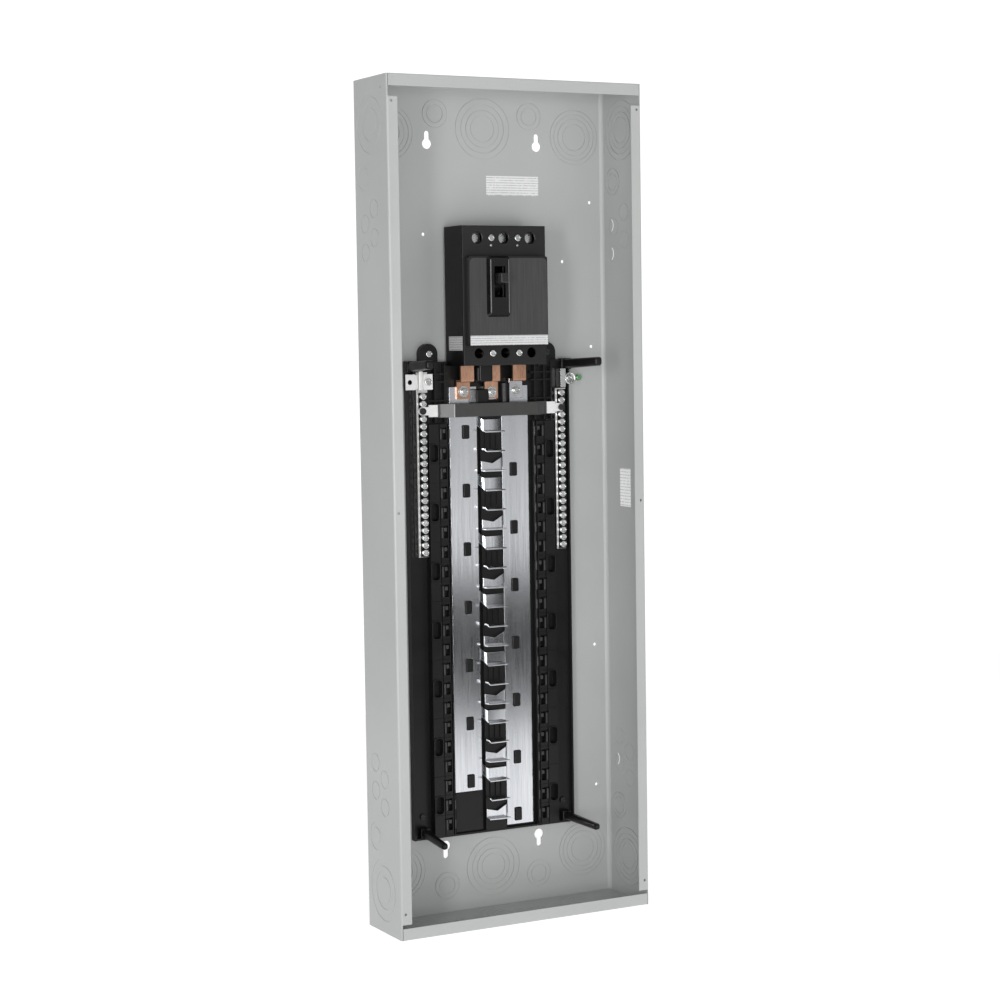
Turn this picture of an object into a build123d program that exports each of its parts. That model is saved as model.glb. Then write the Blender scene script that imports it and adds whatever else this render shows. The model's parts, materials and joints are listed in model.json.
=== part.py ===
# Residential load center: painted steel box, bus interior, neutral bars and three-pole main breaker.
# Millimetres, +Z up, front towards -Y, origin at the centre of the box's back face.
import os

from build123d import *

os.makedirs("parts", exist_ok=True)

# ---- box ----
box_w = 362.0
box_h = 1075.0
box_d = 98.4
sheet = 1.5
side_flange = 14.5
lip_h = 15.0
flange_top_gap = 28.0
flange_bottom_gap = 20.0
key_z_top = 462.0
key_z_bottom = -448.0
key_x_top = 79.8
key_x_bottom = 69.5
key_head_r = 6.6
key_neck_r = 3.4
key_neck_len = 13.0
groove_w = 1.1
groove_deep = 0.45
ring_step = 0.45
big_rings = (17.0, 24.0, 31.0, 39.0)
mid_rings = (17.0, 24.0, 30.0, 35.5)
small_rings = (11.2, 17.5)

# ---- interior ----
space_pitch = 25.4
group_pitch = 3 * space_pitch
groups = 7
stab_z = 92.5
base_w = 237.0
base_top = 184.0
base_bottom = -434.5
base_floor = 4.3
bus_lift = 0.2
bus_t = 3.0
bus_in = 18.3
bus_out = 57.5
bus_top = 151.0
bus_tail = 13.2
blade_tip = -26.0
blade_half = 15.2
blade_t = 2.0
tab_y = -17.0
tab_h = 16.0
rail_in = 62.0
rail_out = 92.0
rail_y = -17.5
post_tip_y = -86.0
gap = 0.3

# ---- neutral ----
bar_x = 101.4
bar_w = 15.8
bar_y = -18.5
bar_back = -7.0
bar_bottom = -66.0
left_bar_top = 171.0
right_bar_top = 146.2
term_pitch = 9.525
term_first = 140.3
term_count = 22
tie_index = 2
term_screw_r = 3.9
wire_hole_r = 2.9
bed_y = -15.6
bar_wall = 2.9
thread_gap = 0.05

# ---- main breaker ----
pole = 38.1
brk_w = 120.6
brk_top = 356.0
brk_bottom = 178.5
brk_back = -8.0
brk_split = -32.0
brk_front = -57.5
panel_y = -69.0
panel_w = 113.6
panel_top = 317.0
panel_bottom = 203.5
wall = 3.0
barrier = 2.4
handle_x = -15.3
slot_w = 15.8
slot_top = 304.0
slot_bottom = 264.6
handle_z = 285.0
handle_y = -46.0
handle_tilt = 5.5
handle_w = 11.0
handle_tip_y = -88.0
handle_tip_h = 12.6
trunnion_r = 3.0
running = 0.05
lug_z = 340.5
load_z = 194.0
screw_x = pole / 2
strap_w = 18.8
strap_t = 3.0
strap_y = -24.0
bar_axis_y = -36.0
bar_axis_z = 262.0
contact_z = 302.0
trip_y = -44.0
trip_z = 234.0

# ---- values worked out from the above ----
inner_y = -sheet
half_w = box_w / 2
half_h = box_h / 2
base_y = inner_y
floor_y = inner_y - base_floor
bus_back = floor_y - bus_lift
bus_y = bus_back - bus_t
poles = (-pole, 0.0, pole)
term_zs = [term_first - term_pitch * i for i in range(term_count)]
tie_z = term_zs[tie_index]
a_zs = [stab_z - group_pitch * i for i in range(groups)]
b_zs = [z - space_pitch for z in a_zs]
c_zs = [z - 2 * space_pitch for z in a_zs]
front = Plane.XZ


def save(item, name):
    item.label = name
    export_step(item, "parts/" + name + ".step")


def block(x0, x1, y0, y1, z0, z1):
    size = (abs(x1 - x0), abs(y1 - y0), abs(z1 - z0))
    centre = ((x0 + x1) / 2, (y0 + y1) / 2, (z0 + z1) / 2)
    return Pos(*centre) * Box(*size, mode=Mode.PRIVATE)


def rod_y(r, x, z, y0, y1):
    return Pos(x, (y0 + y1) / 2, z) * Rot(90, 0, 0) * Cylinder(r, abs(y1 - y0), mode=Mode.PRIVATE)


def rod_x(r, y, z, x0, x1):
    return Pos((x0 + x1) / 2, y, z) * Rot(0, 90, 0) * Cylinder(r, abs(x1 - x0), mode=Mode.PRIVATE)


def rod_z(r, x, y, z0, z1):
    return Pos(x, y, (z0 + z1) / 2) * Cylinder(r, abs(z1 - z0), mode=Mode.PRIVATE)


def ring_y(r, x, z, y0, y1):
    outer = rod_y(r + groove_w / 2, x, z, y0, y1)
    return outer - rod_y(r - groove_w / 2, x, z, min(y0, y1) - 1, max(y0, y1) + 1)


def ring_x(r, y, z, x0, x1):
    outer = rod_x(r + groove_w / 2, y, z, x0, x1)
    return outer - rod_x(r - groove_w / 2, y, z, min(x0, x1) - 1, max(x0, x1) + 1)


def band_y(r0, r1, x, z, y0, y1):
    return rod_y(r1, x, z, y0, y1) - rod_y(r0, x, z, min(y0, y1) - 1, max(y0, y1) + 1)


def band_x(r0, r1, y, z, x0, x1):
    return rod_x(r1, y, z, x0, x1) - rod_x(r0, y, z, min(x0, x1) - 1, max(x0, x1) + 1)


def ring_z(r, x, y, z0, z1):
    outer = rod_z(r + groove_w / 2, x, y, z0, z1)
    return outer - rod_z(r - groove_w / 2, x, y, min(z0, z1) - 1, max(z0, z1) + 1)


# ---- box: back with both sides and their front flanges ----
back_knockouts = []
for s in (-1, 1):
    back_knockouts.append((0.0, s * 483.0, big_rings))
    for x in (-136.0, 136.0):
        back_knockouts.append((x, s * 475.5, mid_rings))
    for x in (-68.5, 68.5):
        back_knockouts.append((x, s * 500.5, small_rings))
side_knockouts = []
for s in (-1, 1):
    side_knockouts.append((-50.0, s * 482.5, big_rings))
    side_knockouts.append((-28.0, s * 416.5, small_rings))
    for i in range(4):
        side_knockouts.append((-56.0 if i % 2 == 0 else -29.5, s * (375.5 - 17.9 * i), (11.2,)))
fixing_holes = [(x, z) for x in (-159.5, 159.5) for z in (390.5, 200.0, -200.0, -390.5)]
fixing_holes += [(-87.0, 347.0), (117.0, 312.5)]

with BuildPart() as box_wrap:
    with BuildSketch(Plane.XY.offset(-half_h)):
        with BuildLine():
            Polyline(
                (-half_w + side_flange, -box_d),
                (-half_w, -box_d),
                (-half_w, 0),
                (half_w, 0),
                (half_w, -box_d),
                (half_w - side_flange, -box_d),
                (half_w - side_flange, -box_d + sheet),
                (half_w - sheet, -box_d + sheet),
                (half_w - sheet, -sheet),
                (-half_w + sheet, -sheet),
                (-half_w + sheet, -box_d + sheet),
                (-half_w + side_flange, -box_d + sheet),
                close=True,
            )
        make_face()
    extrude(amount=box_h)
    uprights = box_wrap.edges().filter_by(Axis.Z)
    fillet([e for e in uprights if abs(abs(e.center().X) - half_w) < 0.1], 2.6)
    uprights = box_wrap.edges().filter_by(Axis.Z)
    fillet([e for e in uprights if abs(abs(e.center().X) - half_w + sheet) < 0.1], 1.1)
    cuts = []
    # the flanges stop short of the end walls' lips
    for s in (-1, 1):
        x0 = s * (half_w - sheet)
        x1 = s * (half_w - side_flange - 1)
        cuts.append(block(x0, x1, -box_d - 1, -box_d + 4, half_h - flange_top_gap, half_h + 1))
        cuts.append(block(x0, x1, -box_d - 1, -box_d + 4, -half_h - 1, -half_h + flange_bottom_gap))
    # keyholes in the back
    for x, z, up in (
        (-key_x_top, key_z_top, 1),
        (key_x_top, key_z_top, 1),
        (-key_x_bottom, key_z_bottom, -1),
        (key_x_bottom, key_z_bottom, -1),
    ):
        z1 = z + up * key_neck_len
        neck = block(x - key_neck_r, x + key_neck_r, 1, -5, z, z1)
        cuts.append(rod_y(key_head_r, x, z, 1, -5) + neck + rod_y(key_neck_r, x, z1, 1, -5))
    for x, z in fixing_holes:
        cuts.append(rod_y(2.2, x, z, 1, -5))
    # knockout score lines on both faces of the sheet, every other band pressed inwards
    pressed = []
    for x, z, rings in back_knockouts:
        for i in range(0, len(rings) - 1, 2):
            r0 = rings[i] + groove_w / 2
            r1 = rings[i + 1] - groove_w / 2
            pressed.append(band_y(r0, r1, x, z, -sheet + 0.1, -sheet - ring_step))
            cuts.append(band_y(r0, r1, x, z, 1, -ring_step))
        for r in rings:
            cuts.append(ring_y(r, x, z, -sheet + groove_deep, -sheet - 1))
            cuts.append(ring_y(r, x, z, 1, -groove_deep))
    for y, z, rings in side_knockouts:
        for s in (-1, 1):
            inner = s * (half_w - sheet)
            outer = s * half_w
            for i in range(0, len(rings) - 1, 2):
                r0 = rings[i] + groove_w / 2
                r1 = rings[i + 1] - groove_w / 2
                pressed.append(band_x(r0, r1, y, z, inner + s * 0.1, inner - s * ring_step))
                cuts.append(band_x(r0, r1, y, z, outer - s * ring_step, outer + s))
        for r in rings:
            for s in (-1, 1):
                inner = s * (half_w - sheet)
                outer = s * half_w
                cuts.append(ring_x(r, y, z, inner + s * groove_deep, inner - s))
                cuts.append(ring_x(r, y, z, outer - s * groove_deep, outer + s))
    # cover screw holes in the flanges
    for x in (-175.0, 175.0):
        for z in (504.3, -1.0, -504.3):
            cuts.append(rod_y(1.7, x, z, -box_d - 1, -box_d + 4))
    cuts.append(rod_x(1.6, -80.0, 522.6, -half_w - 1, -half_w + 3))
    add(pressed)
    add(cuts, mode=Mode.SUBTRACT)
save(box_wrap.part, "box_wrap")

# ---- box: end walls between the sides, each with a front lip ----
end_half = half_w - sheet
lip_half = end_half - 0.8
end_knockouts = [(x, big_rings) for x in (-120.0, 0.0, 120.0)]
end_knockouts += [(x, small_rings) for x in (-60.0, 60.0)]


def end_wall(name, s):
    outer = s * half_h
    with BuildPart() as wall_part:
        add(block(-end_half, end_half, -sheet, -box_d + sheet, outer - s * sheet, outer))
        add(block(-lip_half, lip_half, -box_d, -box_d + sheet, outer - s * lip_h, outer))
        rounded = [
            e
            for e in wall_part.edges().filter_by(Axis.X)
            if abs(e.center().Y + box_d) < 0.1 and abs(e.center().Z - outer) < 0.1
        ]
        fillet(rounded, 1.2)
        # corners clear the bends of the sides
        corners = [e for e in wall_part.edges().filter_by(Axis.Z) if abs(e.center().Y + sheet) < 0.1]
        fillet(corners, 1.2)
        cuts = []
        for x, rings in end_knockouts:
            for r in rings:
                cuts.append(ring_z(r, x, -49.0, outer + s, outer - s * groove_deep))
                inner = outer - s * sheet
                cuts.append(ring_z(r, x, -49.0, inner - s, inner + s * groove_deep))
        add(cuts, mode=Mode.SUBTRACT)
    save(wall_part.part, name)


end_wall("top_end_wall", 1)
end_wall("bottom_end_wall", -1)

# ---- interior base ----
ear_x = 86.7
ear_z = 194.1
foot_x = 104.0
foot_z = -405.0
post_root_x = (113.0, 105.5)
post_root_z = (178.0, -424.5)
post_tip_x = (121.0, 111.2)
post_tip_z = (181.2, -428.3)
post_y = -15.0

with BuildPart() as interior_base:
    add(block(-base_w / 2, base_w / 2, base_y, floor_y, base_bottom, base_top))
    # side and end rims
    rim = 2.4
    extra = []
    for s in (-1, 1):
        rim_x = (s * base_w / 2, s * (base_w / 2 - rim))
        extra.append(block(*rim_x, floor_y, -12.0, base_bottom, base_top))
    extra.append(block(-base_w / 2, base_w / 2, floor_y, -11.0, base_bottom, base_bottom + rim))
    for s in (-1, 1):
        extra.append(block(s * 61.5, s * base_w / 2, floor_y, -13.0, base_top - rim, base_top))
    # ears with their screw holes
    for s in (-1, 1):
        extra.append(block(s * ear_x - 13, s * ear_x + 13, base_y, -10.0, 176.0, ear_z))
        extra.append(rod_y(13.0, s * ear_x, ear_z, base_y, -10.0))
    # ribs round the bus heads
    for x in (-90.5, -80.0, -66.0, 66.0, 80.0, 90.5):
        extra.append(block(x - 1, x + 1, floor_y, -14.0, 106.0, base_top))
    for z in (134.0, 158.0, 168.0):
        for s in (-1, 1):
            extra.append(block(s * 60.0, s * 91.0, floor_y, -13.0, z - 1, z + 1))
    # posts that stand in the bus windows
    for z in a_zs:
        extra.append(block(-39.0, -30.2, floor_y, -11.5, z - 8.0, z + 8.0))
    for z in c_zs:
        extra.append(block(30.2, 39.0, floor_y, -11.5, z - 8.0, z + 8.0))
    # raised plate below the end of the left bus
    extra.append(block(-57.0, -18.0, floor_y, bus_y, -430.0, a_zs[-1] - bus_tail - 1.0))
    # seats for the corner posts
    for i in range(2):
        for s in (-1, 1):
            x = s * post_root_x[i]
            z = post_root_z[i]
            extra.append(block(x - 5.5, x + 5.5, floor_y, post_y, z - 5.0, z + 5.0))
    add(extra)
    # screw holes: two in the ears, two at the foot
    cuts = [rod_y(2.2, s * ear_x, ear_z, 1, -12) for s in (-1, 1)]
    cuts += [rod_y(2.2, s * foot_x, foot_z, 1, -12) for s in (-1, 1)]
    add(cuts, mode=Mode.SUBTRACT)
save(interior_base.part, "interior_base")

with BuildPart() as interior_screws:
    for x, z, y in (
        (-ear_x, ear_z, -10.0),
        (ear_x, ear_z, -10.0),
        (-foot_x, foot_z, floor_y),
        (foot_x, foot_z, floor_y),
    ):
        add(rod_y(4.4, x, z, y, y - 2.6))
        add(rod_y(1.9, x, z, y, inner_y))
save(interior_screws.part, "interior_screws")

# ---- corner posts that carry the inner trim ----
def corner_post(name, s, i):
    root = Vector(s * post_root_x[i], post_y, post_root_z[i])
    tip = Vector(s * post_tip_x[i], post_tip_y + 4.0, post_tip_z[i])
    with BuildPart() as post:
        with BuildSketch(Plane(root, x_dir=(1, 0, 0), z_dir=(0, -1, 0))):
            RectangleRounded(10.0, 9.0, 3.0)
        with BuildSketch(Plane(tip, x_dir=(1, 0, 0), z_dir=(0, -1, 0))):
            RectangleRounded(6.8, 6.8, 3.0)
        loft()
        add(Pos(tip) * Sphere(3.3, mode=Mode.PRIVATE))
    save(post.part, name)


corner_post("post_top_left", -1, 0)
corner_post("post_top_right", 1, 0)
corner_post("post_bottom_left", -1, 1)
corner_post("post_bottom_right", 1, 1)

# ---- breaker rails with hook slots and pockets ----
rail_top = 104.0
rail_end = -431.0
pocket_x = 85.0
hook_x = 70.0


def rail(name, s):
    with BuildPart() as rail_part:
        with BuildSketch(Plane.XY.offset(rail_end)):
            with BuildLine():
                Polyline(
                    (s * rail_in, floor_y),
                    (s * rail_out, floor_y),
                    (s * rail_out, rail_y),
                    (s * (rail_in + 3.5), rail_y),
                    (s * (rail_in + 3.5), rail_y + 4.0),
                    (s * (rail_in + 1.5), rail_y + 4.0),
                    (s * (rail_in + 1.5), rail_y - 1.0),
                    (s * rail_in, rail_y - 1.0),
                    close=True,
                )
            make_face()
        extrude(amount=rail_top - rail_end)
        with BuildSketch(front.offset(-rail_y + 1)):
            with Locations([(s * pocket_x, z) for z in b_zs]):
                RectangleRounded(11.5, 23.0, 4.0)
        extrude(amount=-9.0, mode=Mode.SUBTRACT)
        cuts = []
        for z in a_zs + b_zs + c_zs:
            # a slot with a hook across its upper part
            slot_x = (s * hook_x - 3.0, s * hook_x + 3.0)
            slot = block(*slot_x, rail_y - 1, rail_y + 7.0, z - 9.0, z + 5.0)
            hook_y = (rail_y + 0.6, rail_y + 2.4)
            hook = block(s * hook_x - 4.0, s * hook_x + 4.0, *hook_y, z - 1.0, z + 6.0)
            cuts.append(slot - hook)
        # joints between three-space modules
        for z in a_zs:
            seam = z + space_pitch / 2
            seam_y = (rail_y - 2, rail_y + 0.6)
            cuts.append(block(s * rail_in, s * rail_out, *seam_y, seam - 0.4, seam + 0.4))
        add(cuts, mode=Mode.SUBTRACT)
    save(rail_part.part, name)


rail("rail_left", -1)
rail("rail_right", 1)

# ---- bus bars ----
def tab_and_blade(s, z):
    # a tab joggles forward from the bus, crosses the middle and turns forward into the blade
    root = s * bus_in
    far = -s * blade_half
    step = block(root + s * 0.5, root - s * 2.0, bus_back, tab_y, z, z + tab_h)
    tab = block(root + s * 0.5, far, tab_y, tab_y + 2.0, z, z + tab_h)
    edge = block(s * blade_half, far, tab_y + 2.0, blade_tip, z - blade_t / 2, z + blade_t / 2)
    return step + tab + edge


def bus_bar(name, s, zs):
    with BuildPart() as bus:
        add(block(s * bus_in, s * bus_out, bus_back, bus_y, zs[-1] - bus_tail, bus_top))
        # windows over the base's posts, and the strap's bolt hole
        wx = s * 34.6
        cuts = [block(wx - 5.0, wx + 5.0, bus_back + 1, bus_y - 1, z - 8.8, z + 8.8) for z in zs]
        cuts.append(rod_y(4.3, s * pole, 145.0, bus_back + 1, bus_y - 1))
        add(cuts, mode=Mode.SUBTRACT)
        add([tab_and_blade(s, z) for z in zs])
    save(bus.part, name)


bus_bar("bus_a", -1, a_zs)
bus_bar("bus_c", 1, c_zs)

mid_half = 9.0
mid_foot_y = -14.0
with BuildPart() as bus_b:
    add(block(-mid_half, mid_half, floor_y - 0.1, floor_y - 2.6, b_zs[-1] - bus_tail, bus_top))
    blades = [block(-mid_half, mid_half, floor_y - 2.5, mid_foot_y, 134.0, bus_top)]
    for z in b_zs:
        blade = block(-blade_half, blade_half, tab_y, blade_tip, z - blade_t / 2, z + blade_t / 2)
        blades.append(blade + block(-4.0, 4.0, floor_y - 2.0, tab_y, z - blade_t / 2, z + blade_t / 2))
    add(blades)
    add(rod_y(4.3, 0.0, 143.6, 1, mid_foot_y - 1), mode=Mode.SUBTRACT)
save(bus_b.part, "bus_b")

# ---- insulator over the middle bus ----
cap_y = -12.5
with BuildPart() as stab_insulator:
    add(block(-15.0, 15.0, floor_y, cap_y, base_bottom + 3.0, 128.0))
    # raised ribs between the blades
    for x in (-8.0, 0.0, 8.0):
        add([block(x - 1.0, x + 1.0, cap_y, cap_y - 2.0, z + 4.0, z + 21.0) for z in b_zs])
    cuts = [block(-mid_half - gap, mid_half + gap, floor_y + 1, floor_y - 3.0, base_bottom, 130.0)]
    cuts += [block(-4.4, 4.4, floor_y, cap_y - 1, z - 1.4, z + 1.4) for z in b_zs]
    add(cuts, mode=Mode.SUBTRACT)
save(stab_insulator.part, "stab_insulator")

with BuildPart() as head_insulator:
    add(block(-17.6, 17.6, floor_y, -21.0, 129.2, 157.5))
    slot_half = strap_w / 2 + gap
    way = block(-slot_half, slot_half, floor_y + 1, -22.0, 133.7, 158.0)
    under = block(-mid_half - gap, mid_half + gap, floor_y + 1, floor_y - 3.0, 128.0, 134.0)
    add([way, under], mode=Mode.SUBTRACT)
    uprights = head_insulator.edges().filter_by(Axis.Z)
    fillet([e for e in uprights if e.center().Y < -20.5 and abs(e.center().X) > 15], 4.0)
save(head_insulator.part, "head_insulator")

# ---- copper straps from the breaker to the buses ----
def strap(name, x, foot_y, bolt_z):
    half = strap_w / 2
    with BuildPart() as strap_part:
        add(block(x - half, x + half, strap_y, strap_y + strap_t, 157.0, 204.0))
        add(block(x - half, x + half, strap_y + strap_t, foot_y - strap_t, 157.0, 160.0))
        add(block(x - half, x + half, foot_y - strap_t, foot_y, 135.2, 160.0))
        outer = [
            e
            for e in strap_part.edges().filter_by(Axis.X)
            if abs(e.center().Y - strap_y) < 0.1 and abs(e.center().Z - 157.0) < 0.1
        ]
        fillet(outer, 2.8)
        add(rod_y(4.3, x, bolt_z, foot_y + 1, foot_y - strap_t - 1), mode=Mode.SUBTRACT)
        add(rod_y(3.3, x, load_z, strap_y - 1, strap_y + strap_t + 1), mode=Mode.SUBTRACT)
    save(strap_part.part, name)


strap("strap_a", -pole, bus_y, 145.0)
strap("strap_b", 0.0, mid_foot_y, 143.6)
strap("strap_c", pole, bus_y, 145.0)

with BuildPart() as strap_bolts:
    for x, foot_y, z in ((-pole, bus_y, 145.0), (0.0, mid_foot_y, 143.6), (pole, bus_y, 145.0)):
        seat = foot_y - strap_t
        add(rod_y(6.4, x, z, seat, seat - 1.0))
        with BuildSketch(front.offset(-seat + 1.0)):
            with Locations((x, z)):
                RegularPolygon(5.2, 6)
        extrude(amount=3.6)
        add(rod_y(4.0, x, z, seat, floor_y))
save(strap_bolts.part, "strap_bolts")

# ---- neutral bars ----
def neutral_bar(name, s, top):
    with BuildPart() as bar:
        add(block(s * bar_x - bar_w / 2, s * bar_x + bar_w / 2, bar_back, bar_y, bar_bottom, top))
        # the screws stand in a lower bed beside the tall inner or outer wall
        x0 = s * bar_x - bar_w / 2 + bar_wall
        x1 = s * bar_x + bar_w / 2 + 1
        bed_top = term_first + term_pitch / 2
        boss = rod_y(4.4, s * bar_x, tie_z, bed_y + 1, bar_y - 2)
        add(block(x0, x1, bed_y, bar_y - 1, bar_bottom - 1, bed_top) - boss, mode=Mode.SUBTRACT)
        # feet that rest on the base
        foot = (s * bar_x - 4, s * bar_x + 4, bar_back, floor_y)
        add([block(*foot, z - 8, z + 8) for z in (120.0, 30.0, -50.0)])
        cuts = [rod_x(wire_hole_r, -12.2, z, s * bar_x - bar_w, s * bar_x + bar_w) for z in term_zs]
        cuts += [rod_y(2.4 + thread_gap, s * bar_x, z, bar_y - 1, -12.0) for z in term_zs]
        add(cuts, mode=Mode.SUBTRACT)
    save(bar.part, name)


neutral_bar("neutral_bar_left", -1, left_bar_top)
neutral_bar("neutral_bar_right", 1, right_bar_top)

def slotted_screw(r, shank_r, x, z, seat, head, end, slot):
    # a round slotted head from seat to head, its shank running back to end
    body = rod_y(r, x, z, seat, head) + rod_y(shank_r, x, z, seat, end)
    return body - block(x - r * 0.8, x + r * 0.8, head + 1.0, head - 1.0, z - slot, z + slot)


with BuildPart() as terminal_screws:
    screws = []
    for s in (-1, 1):
        for i, z in enumerate(term_zs):
            if i != tie_index:
                x = s * bar_x
                seat = bar_y - 1.2
                screws.append(slotted_screw(term_screw_r, 2.4, x, z, seat, -24.0, -12.2, 0.6))
    add(screws)
save(terminal_screws.part, "terminal_screws")

# ---- cross tie between the neutral bars, with its sleeve ----
tie_t = 1.4
tie_h = 17.0
tie_ring = 5.3
tie_front = -30.0
tie_bend_in = 61.5
tie_bend_out = 78.0
with BuildPart() as neutral_tie:
    with BuildSketch(Plane.XY.offset(tie_z - tie_h / 2 + 0.8)):
        with BuildLine():
            Polyline(
                (-bar_x - 5.5, bar_y),
                (-tie_bend_out, bar_y),
                (-tie_bend_in, tie_front),
                (tie_bend_in, tie_front),
                (tie_bend_out, bar_y),
                (bar_x + 5.5, bar_y),
                (bar_x + 5.5, bar_y - tie_t),
                (tie_bend_out - 0.6, bar_y - tie_t),
                (tie_bend_in - 0.6, tie_front - tie_t),
                (-tie_bend_in + 0.6, tie_front - tie_t),
                (-tie_bend_out + 0.6, bar_y - tie_t),
                (-bar_x - 5.5, bar_y - tie_t),
                close=True,
            )
        make_face()
    extrude(amount=tie_h - 1.6)
    # the ends narrow to a ring between the neighbouring screws
    cuts = []
    for s in (-1, 1):
        end = block(s * 92.5, s * (bar_x + 6), bar_y + 1, bar_y - 3, tie_z - 12, tie_z + 12)
        keep = block(s * 92.0, s * bar_x, bar_y + 2, bar_y - 4, tie_z - tie_ring, tie_z + tie_ring)
        cuts.append(end - keep - rod_y(tie_ring, s * bar_x, tie_z, bar_y + 2, bar_y - 4))
        cuts.append(rod_y(2.6, s * bar_x, tie_z, bar_y + 1, bar_y - 3))
    add(cuts, mode=Mode.SUBTRACT)
save(neutral_tie.part, "neutral_tie")

with BuildPart() as tie_sleeve:
    with BuildSketch(Plane.XY.offset(tie_z - tie_h / 2)):
        with BuildLine():
            Polyline(
                (-tie_bend_out - 1.5, bar_y + 1.0),
                (-tie_bend_out + 0.9, bar_y + 1.0),
                (-tie_bend_in + 0.6, tie_front + 1.0),
                (tie_bend_in - 0.6, tie_front + 1.0),
                (tie_bend_out - 0.9, bar_y + 1.0),
                (tie_bend_out + 1.5, bar_y + 1.0),
                (tie_bend_out + 1.5, bar_y - tie_t - 1.0),
                (tie_bend_out - 1.6, bar_y - tie_t - 1.0),
                (tie_bend_in - 0.9, tie_front - tie_t - 1.0),
                (-tie_bend_in + 0.9, tie_front - tie_t - 1.0),
                (-tie_bend_out + 1.6, bar_y - tie_t - 1.0),
                (-tie_bend_out - 1.5, bar_y - tie_t - 1.0),
                close=True,
            )
        make_face()
    extrude(amount=tie_h)
    add(neutral_tie.part, mode=Mode.SUBTRACT)
save(tie_sleeve.part, "tie_sleeve")

with BuildPart() as tie_screws:
    seat = bar_y - tie_t
    add([slotted_screw(4.2, 2.4, s * bar_x, tie_z, seat, seat - 3.0, -12.2, 0.6) for s in (-1, 1)])
save(tie_screws.part, "tie_screws")

# ---- neutral lug over the top of the left bar ----
lug_mid_z = 158.4
with BuildPart() as neutral_lug:
    add(block(-124.5, -110.2, -20.0, -17.5, 148.6, 168.6))
    add(block(-110.2, -109.6, -20.0, -17.5, 148.6, 168.6))
    add(block(-109.9, -99.0, -22.5, bar_y, 148.6, 168.6))
    add(block(-99.0, -86.5, -21.0, bar_y, 148.6, 168.6))
    add(rod_y(3.1, -118.4, lug_mid_z, -15, -23), mode=Mode.SUBTRACT)
    add(block(-106.0, -103.0, -23.0, -21.6, 148.0, 169.0), mode=Mode.SUBTRACT)
    add(rod_y(2.6, -93.6, lug_mid_z, -15, -23), mode=Mode.SUBTRACT)
save(neutral_lug.part, "neutral_lug")

with BuildPart() as neutral_lug_screw:
    add(rod_y(4.8, -93.6, lug_mid_z, -21.0, -22.6))
    add(rod_y(2.5, -93.6, lug_mid_z, -21.0, bar_y - 0.1))
save(neutral_lug_screw.part, "neutral_lug_screw")

# ---- bonding strap and its green screw ----
bond_x = 138.2
bond_z = 159.6
with BuildPart() as bonding_strap:
    add(block(101.8, 109.3, bar_y, -20.0, 147.2, 172.0))
    add(block(101.8, 109.3, bar_back, bar_y, 147.2, 172.0))
    # over the base's rim and down to the back sheet
    add(block(109.3, 123.0, -12.4, -14.2, 152.5, 166.5))
    add(block(121.0, 123.0, inner_y, -14.2, 152.5, 166.5))
    add(block(121.0, 145.0, inner_y, -3.2, 152.5, 166.5))
    add(rod_y(8.8, 118.4, 159.2, -14.2, -16.0))
    add(rod_y(3.0, 118.4, 159.2, -15.0, -17.0), mode=Mode.SUBTRACT)
    add(rod_y(2.6, bond_x, bond_z, -1, -6), mode=Mode.SUBTRACT)
save(bonding_strap.part, "bonding_strap")

with BuildPart() as bonding_screw:
    with BuildSketch(front.offset(3.2)):
        with Locations((bond_x, bond_z)):
            RegularPolygon(4.0, 6)
    extrude(amount=3.2)
    add(rod_y(2.4, bond_x, bond_z, -3.2, inner_y))
save(bonding_screw.part, "bonding_screw")

# ---- main breaker: moulded base ----
inner_half = brk_w / 2 - wall
with BuildPart() as breaker_base:
    add(block(-brk_w / 2, brk_w / 2, brk_back, brk_split, brk_bottom, brk_top))
    low = brk_bottom + wall
    high = brk_top - wall
    add(block(-inner_half, inner_half, brk_back - wall, brk_split - 1, low, high), mode=Mode.SUBTRACT)
    for x in (-screw_x, screw_x):
        add(block(x - barrier / 2, x + barrier / 2, brk_back - wall, brk_split, low, high))
        # pillars for the fixing screws
        for z in (lug_z, load_z):
            add(rod_y(5.0, x, z, brk_back, brk_split))
            add(rod_y(2.4, x, z, 1, brk_split - 1), mode=Mode.SUBTRACT)
    for x in poles:
        # openings for the line wire and for the strap
        add(rod_z(7.6, x, -30.9, brk_top - wall - 1, brk_top + 1), mode=Mode.SUBTRACT)
        way_half = strap_w / 2 + gap
        way_back = strap_y + strap_t + gap
        way = block(x - way_half, x + way_half, strap_y - gap, way_back, brk_bottom - 1, low + 1)
        add(way, mode=Mode.SUBTRACT)
    add(rod_x(9.6, bar_axis_y, bar_axis_z, 0.5 - inner_half, inner_half - 0.5), mode=Mode.SUBTRACT)
    # feet on the back sheet
    for x in (-50.0, 50.0):
        for z in (brk_bottom + 12.0, brk_top - 12.0):
            add(rod_y(6.0, x, z, brk_back, inner_y))
save(breaker_base.part, "breaker_base")

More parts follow.
